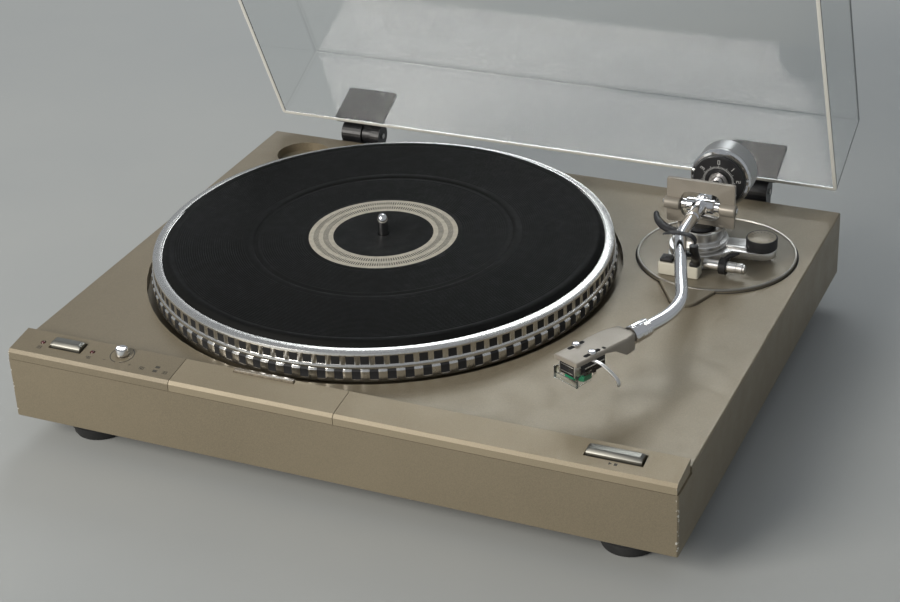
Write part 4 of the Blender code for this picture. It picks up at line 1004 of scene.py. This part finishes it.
def make_headshell():
    """The folded headshell with slots and a plug, the cartridge's two screws and nuts."""
    front = bar((49.9, -11.2, HEAD_TOP - 3.0), (51.25, 6.5, HEAD_TOP - 0.5), 0.3, head)
    back = bar((2.6, -7.0, HEAD_TOP - 10.0), (4.2, 5.4, HEAD_TOP - 0.6), 0.3, head)
    plug = lathe([(0, -1.6), (3.7, -1.6), (3.9, -1.2), (3.9, 3.4), (0, 3.4)],
                 (0, 0, HEAD_ORIGIN[2]), place=head, axis="x", segments=32)
    piece("headshell_folded", merged(headshell_skin(), front, back, plug), FINISHES["satin"],
          "tonearm", ["headshell"], sharp=40.0)
    # Painted shade: the slots are not cut; thin near-black inlays on the top stand for the openings
    # and the shade in them.
    slots = []
    for side in SCREW_SIDES:
        loop = soften(rectangle(29.6, side - 1.35, 42.4, side + 1.35), 1.3, 5)
        slots.append(slab(loop, HEAD_TOP - 0.7, HEAD_TOP + 0.035, 0.02, head))
    slots.append(slab(soften(rectangle(26.0, 3.4, 28.0, 6.0), 0.9, 4),
                      HEAD_TOP - 0.7, HEAD_TOP + 0.035, 0.02, head))
    piece("headshell_slots_painted_shade", merged(*slots), FINISHES["dark"], "tonearm", ())
    for name, side in zip(("left", "right"), SCREW_SIDES):
        x, y = head_plan(36.0, side)
        screw = lathe([(0, HEAD_TOP + 1.35), (0.5, HEAD_TOP + 1.35), (0.55, HEAD_TOP + 1.9),
                       (1.6, HEAD_TOP + 1.75), (2.3, HEAD_TOP + 1.2), (2.5, HEAD_TOP + 0.5),
                       (2.5, HEAD_TOP + 0.25), (1.0, HEAD_TOP + 0.2), (1.0, 74.2), (0, 74.2)],
                      (x, y), segments=32)
        nut = lathe([(1.0, 75.9), (2.6, 75.9), (2.6, 74.3), (1.0, 74.3)], (x, y), segments=6,
                    closed=True)
        piece(f"cartridge_screw_{name}_domed", merged(screw, nut), FINISHES["chrome"], "tonearm",
              [f"cartridge_screw_{name}"], sharp=25.0)


def make_cartridge():
    """The black cartridge with pale edges, pins and lines, the green stylus and clear guard."""
    mid = CARTRIDGE_SIDE
    body = soften([(27, mid - 8.3), (44, mid - 8.3), (45.2, mid - 6.2), (49.8, mid - 6.2),
                   (49.8, mid + 6.2), (45.2, mid + 6.2), (44, mid + 8.3), (27, mid + 8.3)], 0.5, 3)
    nose = bar((43.0, mid - 5.4, 76.3), (49.95, mid + 5.4, 80.5), 0.4, head)
    piece("cartridge_moulded", merged(slab(body, 76.2, 85.9, 0.4, head), nose),
          FINISHES["black_gloss"], "tonearm", ["cartridge_body"])
    trims = []
    for side in (-1, 1):
        trims.append(bar((44.2, mid + side * 6.0 - 0.4, 76.4), (50.05, mid + side * 6.0 + 0.4,
                                                                85.6), 0.15, head))
        trims.append(bar((28.0, mid + side * 8.25 - 0.3, 80.6), (43.6, mid + side * 8.25 + 0.3,
                                                                81.4), 0.12, head))
    for height in (78.0, 82.4, 84.0):
        trims.append(bar((49.7, mid - 4.8, height), (50.02, mid + 4.8, height + 0.35), 0.06, head))
    for side in (-6, -2, 2, 6):
        trims.append(lathe([(0, 23.4), (0.6, 23.5), (0.6, 27.4), (0, 27.4)],
                           (0, mid + side * 0.55, 82.4 + (side % 4) * 0.6 - 0.6), place=head,
                           axis="x", segments=12))
    piece("cartridge_trim", merged(*trims), FINISHES["silver"], "tonearm", ())
    block = soften([(33, mid - 4.8), (43.8, mid - 4.8), (48.6, mid - 3.2), (48.6, mid + 3.2),
                    (43.8, mid + 4.8), (33, mid + 4.8)], 0.6, 3)
    wings = slab(soften([(31.5, mid + 4.0), (40.0, mid + 8.2), (44.6, mid + 8.2),
                         (47.0, mid + 4.0)], 0.6, 3), 73.0, 75.8, 0.3, head)
    cantilever = sweep([(47.2, mid, 73.2), (46.6, mid, 71.8), (45.8, mid, 70.2)], circle(0.6, 12),
                       place=head, scale=[1.0, 0.8, 0.45], up=(0, 1, 0))
    piece("stylus_moulded", merged(slab(block, 72.4, 75.9, 0.35, head), wings, cantilever),
          FINISHES["green"], "stylus", ["stylus_assembly"])
    guard = [bar((50.2, mid - 9.3, 71.6), (51.2, mid + 9.3, 75.5), 0.3, head)]
    for side in (-1, 1):
        guard.append(bar((39.0, mid + side * 8.95 - 0.35, 72.2), (51.0, mid + side * 8.95 + 0.35,
                                                                 78.9), 0.25, head))
        guard.append(bar((50.1, mid + side * 8.7 - 0.7, 71.5), (51.5, mid + side * 8.7 + 0.7,
                                                               79.2), 0.25, head))
    piece("stylus_guard_clear", merged(*guard), FINISHES["guard"], "guard", ["stylus_guard"])
    side = spline([(6.0, 84.9), (10.0, 84.9), (14.0, 84.2), (18.5, 82.2), (22.4, 79.8),
                   (24.6, 77.4), (25.2, 74.0)], 6)
    path = np.column_stack((39.0 - 0.12 * side[:, 0], side[:, 0], side[:, 1]))
    width = taper(len(path), [0, .15, .7, .93, 1], [1.1, .9, .95, 1.1, .6])
    strip = sweep(path, soften(rectangle(-1.2, -0.42, 1.2, 0.42), 0.35, 3),
                  place=head, scale=width, up=(0.0, 0.2, 1.0))
    piece("finger_lift_curved", strip, FINISHES["silver"], "tonearm", ["finger_lift"])


def make_counterweight():
    """The weight with a bright front edge and a waist, and the black dial with its scale."""
    x, _, z = PIVOT
    front = 126.4
    shape = [(6.9, front), (18.2, front), (19.8, front + 0.3), (20.5, front + 1.2),
             (20.5, front + 5.2), (20.2, front + 5.5), (20.2, front + 6.0), (20.5, front + 6.3),
             (20.5, front + 18.9), (19.6, front + 19.9), (18.8, front + 20.2),
             (9.0, front + 20.2), (8.4, front + 19.4), (6.9, front + 19.4)]
    piece("counterweight_turned", lathe(shape, (x, 0, z), axis="y", segments=96, closed=True),
          FINISHES["weight"], "weight", ["counterweight"], sharp=25.0)
    edge = [(17.9, front - 0.1), (18.3, front - 0.2), (19.9, front + 0.15), (20.65, front + 1.1),
            (20.65, front + 2.8), (20.3, front + 2.9), (20.3, front + 1.3), (17.9, front + 0.3)]
    piece("counterweight_bright_edge", lathe(edge, (x, 0, z), axis="y", segments=96, closed=True),
          FINISHES["chrome"], "weight", (), sharp=25.0)
    rows = [(6.9, 126.05), (17.2, 126.05), (17.6, 125.7), (17.6, 123.3), (17.2, 122.85),
            (15.4, 122.8), (8.2, 122.8), (6.9, 123.1)]
    piece("force_dial_moulded", lathe(rows, (x, 0, z), axis="y", segments=96, closed=True),
          FINISHES["black"], "dial", ["force_dial"])
    marks = []
    face = upright(122.8)

    def on_dial(angle, radius):
        spin = math.radians(angle) - math.pi / 2

        def placed(points):
            points = np.asarray(points, float)
            px = points[..., 0] * math.cos(spin) - (points[..., 1] + radius) * math.sin(spin)
            pz = points[..., 0] * math.sin(spin) + (points[..., 1] + radius) * math.cos(spin)
            return face(np.stack((x + px, z + pz, points[..., 2]), -1))
        return placed

    for i in range(72):
        major = i % 6 == 0
        length = 2.4 if major else 1.4
        marks.append(bar((-0.13, 0, 0), (0.13, length, 0.05), 0.01, on_dial(90 + i * 5, 9.4)))
    for i, text in enumerate("0123"):
        marks.append(digits(text, 2.6, 0.42, on_dial(90 - i * 42, 13.9)))
        marks.append(digits(text, 2.6, 0.42, on_dial(270 - i * 42, 13.9)))
    piece("force_dial_scale", merged(*marks), FINISHES["white_ink"], "dial", ())


# ---------------------------------------------------------------- hinges and dust cover
def make_cover():
    """A hollow clear cover with rounded edges, and its two black hinge leaves."""
    def outline(grow, radius):
        half = COVER_HALF + grow
        return soften(rectangle(-half, COVER_FRONT - grow, half, COVER_REAR + grow), radius,
                      CORNER_STEPS)

    count = 4 * (CORNER_STEPS + 1)

    def loop(grow, z):
        return np.column_stack((outline(grow, 3.2 + min(grow, 0)), np.full(count, z)))

    rows = [loop(-0.25, 47.0), loop(0.0, 47.3)]
    for t in np.linspace(0, 1, 7):
        rows.append(loop(-2.0 * (1 - math.cos(t * math.pi / 2)),
                         111.0 + 2.0 * math.sin(t * math.pi / 2)))
    outer = [cover_open(row) for row in rows]
    rows = [loop(-3.0 - 1.2 * (1 - math.sin(t * math.pi / 2)), 110.0 - 1.2 * (1 - math.cos(
        t * math.pi / 2))) for t in np.linspace(0, 1, 5)]
    inner = [cover_open(row) for row in rows] + [cover_open(loop(-3.0, 47.3)),
                                                 cover_open(loop(-2.75, 47.0))]
    points = np.vstack(outer + inner)
    faces = []
    bands = len(outer) + len(inner)
    for i in range(bands):
        if i == len(outer) - 1:
            continue
        a, b = i * count, ((i + 1) % bands) * count
        faces += [(a + j, a + (j + 1) % count, b + (j + 1) % count, b + j) for j in range(count)]
    top = (len(outer) - 1) * count
    cap = np.array([(8 - k, 9 + k, 10 + k, 7 - k) for k in range(8)] + [(0, 17, 18, 35)]
                   + [(35 - k, 18 + k, 19 + k, 34 - k) for k in range(8)])
    faces += [tuple(face) for face in (top + cap).tolist()]
    faces += [tuple(reversed(face)) for face in (top + count + cap).tolist()]
    piece("dust_cover_clear", (points, faces), FINISHES["clear"], "cover", ["dust_cover"],
          sharp=4.0)
    # Painted highlight: the frosted cut edge round the cover's rim, pale and opaque for the light
    # that glows along it.
    edge = [cover_open(loop(grow, z)) for grow, z in ((-0.5, 46.55), (-0.2, 46.65), (-0.2, 46.95),
                                                      (-2.8, 46.95), (-2.8, 46.65),
                                                      (-2.5, 46.55))]
    piece("cover_edge_painted_highlight", mesh_from_rows(edge, wrap_rows=True), FINISHES["cut_edge"], "cover",
          ())
    for name, centre in (("left", -152.0), ("right", 152.0)):
        side = 1 if centre > 0 else -1
        low, high = sorted((side * 142.2, side * 149.8))

        def on_rear(points):
            points = np.asarray(points, float)
            return cover_open(np.stack((points[..., 0], 178.8 + points[..., 2],
                                        points[..., 1]), -1))

        leaf = soften(rectangle(centre - 20, 48.0, centre + 20, 80.5), 2.4, 4)
        knuckle = lathe([(2.3, low), (6.2, low), (6.6, low + 0.4), (6.6, high - 0.4),
                         (6.2, high), (2.3, high)], (0, HINGE_Y, HINGE_Z), place=cover_open,
                        axis="x", segments=40, closed=True)
        link = bar((low, 180.2, 49.2), (high, 187.5, 53.6), 0.6, cover_open)
        rib = bar((centre - 16, 180.9, 52.0), (centre + 16, 182.2, 54.0), 0.5, cover_open)
        piece(f"hinge_leaf_{name}_enamelled",
              merged(slab(leaf, 0.0, 2.2, 0.5, on_rear), knuckle, link, rib),
              FINISHES["hinge_black"], "cover", [f"hinge_leaf_{name}"])
        back = [(0, 181.9), (1.0, 181.9), (2.6, 181.7), (3.0, 181.2), (3.0, 180.9), (0, 180.9)]
        piece(f"hinge_screw_{name}",
              lathe(back, (centre, 0, 74.5), place=cover_open, axis="y", segments=32),
              FINISHES["steel"], "cover", ())


# ---------------------------------------------------------------- stage
def make_stage(look):
    """A pale flat floor, soft lights and the camera."""
    count = 17
    side = np.linspace(-4.0, 4.0, count)
    points = [(x, y, 0.0) for y in side for x in side]
    faces = [(a, a + 1, a + count + 1, a + count)
             for i in range(count - 1) for a in range(i * count, (i + 1) * count - 1)]
    mesh = bpy.data.meshes.new("studio_floor")
    mesh.from_pydata(points, [], faces)
    mesh.shade_smooth()
    made = Finish("studio_paper", (0.40, 0.41, 0.40), 0.0, 0.75)
    tone = made.noise(3.0, 5.0)
    made.set("Base Color", made.mix(made.span(tone, 0.3, 0.7), (0.385, 0.40, 0.395),
                                    (0.425, 0.435, 0.42)))
    made.bump(made.noise(500.0, 2.0), 0.00005, 0.4)
    mesh.materials.append(made.material)
    floor = bpy.data.objects.new("studio_floor", mesh)
    bpy.context.scene.collection.objects.link(floor)

    bpy.context.scene.view_settings.view_transform = "Standard"
    world = bpy.data.worlds.new("studio_light")
    world.use_nodes = True
    world.node_tree.nodes["Background"].inputs[0].default_value = (0.86, 0.90, 0.95, 1.0)
    world.node_tree.nodes["Background"].inputs[1].default_value = look.fill_strength
    bpy.context.scene.world = world
    for name, place, size, power, color in (
        ("key_window", (-1.0, -1.8, 1.15), (1.2, 1.0), look.key_power, (1.0, 0.96, 0.90)),
        ("back_window", (-0.5, 1.7, 1.6), (1.2, 0.8), look.key_power * 0.3, (0.93, 0.97, 1.0)),
    ):
        light = bpy.data.lights.new(name, "AREA")
        light.shape = "RECTANGLE"
        light.size, light.size_y = size
        light.energy, light.color = power, color
        lamp = bpy.data.objects.new(name, light)
        lamp.location = place
        lamp.rotation_euler = (Vector((0, 0, 0.06)) - Vector(place)).to_track_quat(
            "-Z", "Y").to_euler()
        bpy.context.scene.collection.objects.link(lamp)

    azimuth, elevation, roll = (math.radians(a) for a in (25.04, 28.80, -2.74))
    distance, target = 1.25299, Vector(deck((26.63, -48.17, 60.0)))
    back = Vector((math.sin(azimuth) * math.cos(elevation),
                   -math.cos(azimuth) * math.cos(elevation), math.sin(elevation)))
    lens = bpy.data.cameras.new("camera")
    lens.sensor_width, lens.lens = 36.0, 79.556
    lens.clip_start, lens.clip_end = 0.01, 20.0
    camera = bpy.data.objects.new("camera", lens)
    camera.location = target + back * distance
    turn = (-back).to_track_quat("-Z", "Y")
    right, up = turn @ Vector((1, 0, 0)), turn @ Vector((0, 1, 0))
    new_right = right * math.cos(roll) + up * math.sin(roll)
    new_up = -right * math.sin(roll) + up * math.cos(roll)
    matrix = camera.matrix_world.to_3x3()
    for i in range(3):
        matrix[i][0], matrix[i][1], matrix[i][2] = new_right[i], new_up[i], back[i]
    camera.rotation_euler = matrix.to_euler()
    bpy.context.scene.collection.objects.link(camera)
    bpy.context.scene.camera = camera


def finish_carried_nodes():
    """Gives each frame part that still shows its own procedural finish."""
    for node, finish in CARRIED_OVER.items():
        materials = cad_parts[node].data.materials
        for i in range(max(len(materials), 1)):
            if i < len(materials):
                materials[i] = FINISHES[finish]
            else:
                materials.append(FINISHES[finish])


# ---------------------------------------------------------------- operators and panel
def operator(idname, label, doc, run):
    """An operator class that runs one builder with the scene's settings."""
    def execute(self, context):
        run(context.scene.turntable_look)
        return {"FINISHED"}

    return type(f"TURNTABLE_OT_{idname}", (bpy.types.Operator,), {
        "bl_idname": f"turntable.{idname}", "bl_label": label, "bl_options": {"REGISTER", "UNDO"},
        "__doc__": doc, "execute": execute})


OPERATORS = [
    operator("finishes", "Make finishes", "Makes every procedural finish",
             lambda look: (make_finishes(look), finish_carried_nodes())),
    operator("platter", "Make platter", "Builds the rim, mat and spindle", make_platter),
    operator("feet", "Make feet", "Builds the four rubber feet", lambda look: make_feet()),
    operator("controls", "Make controls", "Builds the strip's bars, knob, lamps and legends",
             make_controls),
    operator("arm_base", "Make arm base", "Builds the arm plate, pillar and anti-skate",
             lambda look: make_arm_base()),
    operator("cueing", "Make cueing", "Builds the cue lever, lift horn, rest and latch",
             lambda look: make_cueing()),
    operator("gimbal", "Make gimbal", "Builds the yoke plate and bearings",
             lambda look: make_gimbal()),
    operator("tube", "Make tube", "Builds the S-shaped tube and collar", make_arm_tube),
    operator("headshell", "Make headshell", "Builds the headshell and screws",
             lambda look: make_headshell()),
    operator("cartridge", "Make cartridge", "Builds the cartridge, stylus and finger lift",
             lambda look: make_cartridge()),
    operator("counterweight", "Make counterweight", "Builds the weight and its dial",
             lambda look: make_counterweight()),
    operator("cover", "Make cover", "Builds the dust cover and hinge leaves",
             lambda look: make_cover()),
    operator("stage", "Make stage", "Adds the floor, the lights and the camera", make_stage),
]


class TURNTABLE_PT_panel(bpy.types.Panel):
    """Lists the settings and the builders."""

    bl_label = "Turntable"
    bl_idname = "TURNTABLE_PT_panel"
    bl_space_type = "VIEW_3D"
    bl_region_type = "UI"
    bl_category = "Turntable"

    def draw(self, context):
        look = context.scene.turntable_look
        for name in ("deck_color", "strip_color", "upper_dots", "lower_dots", "tube_radius",
                     "key_power", "fill_strength"):
            self.layout.prop(look, name)
        for made in OPERATORS:
            self.layout.operator(made.bl_idname)


CLASSES = [TurntableLook, *OPERATORS, TURNTABLE_PT_panel]


def register():
    for made in CLASSES:
        bpy.utils.register_class(made)
    bpy.types.Scene.turntable_look = PointerProperty(type=TurntableLook)


def unregister():
    del bpy.types.Scene.turntable_look
    for made in reversed(CLASSES):
        bpy.utils.unregister_class(made)


def main():
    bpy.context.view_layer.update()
    register()
    for made in OPERATORS:
        group, name = made.bl_idname.split(".")
        getattr(getattr(bpy.ops, group), name)()


if __name__ == "__main__":
    main()
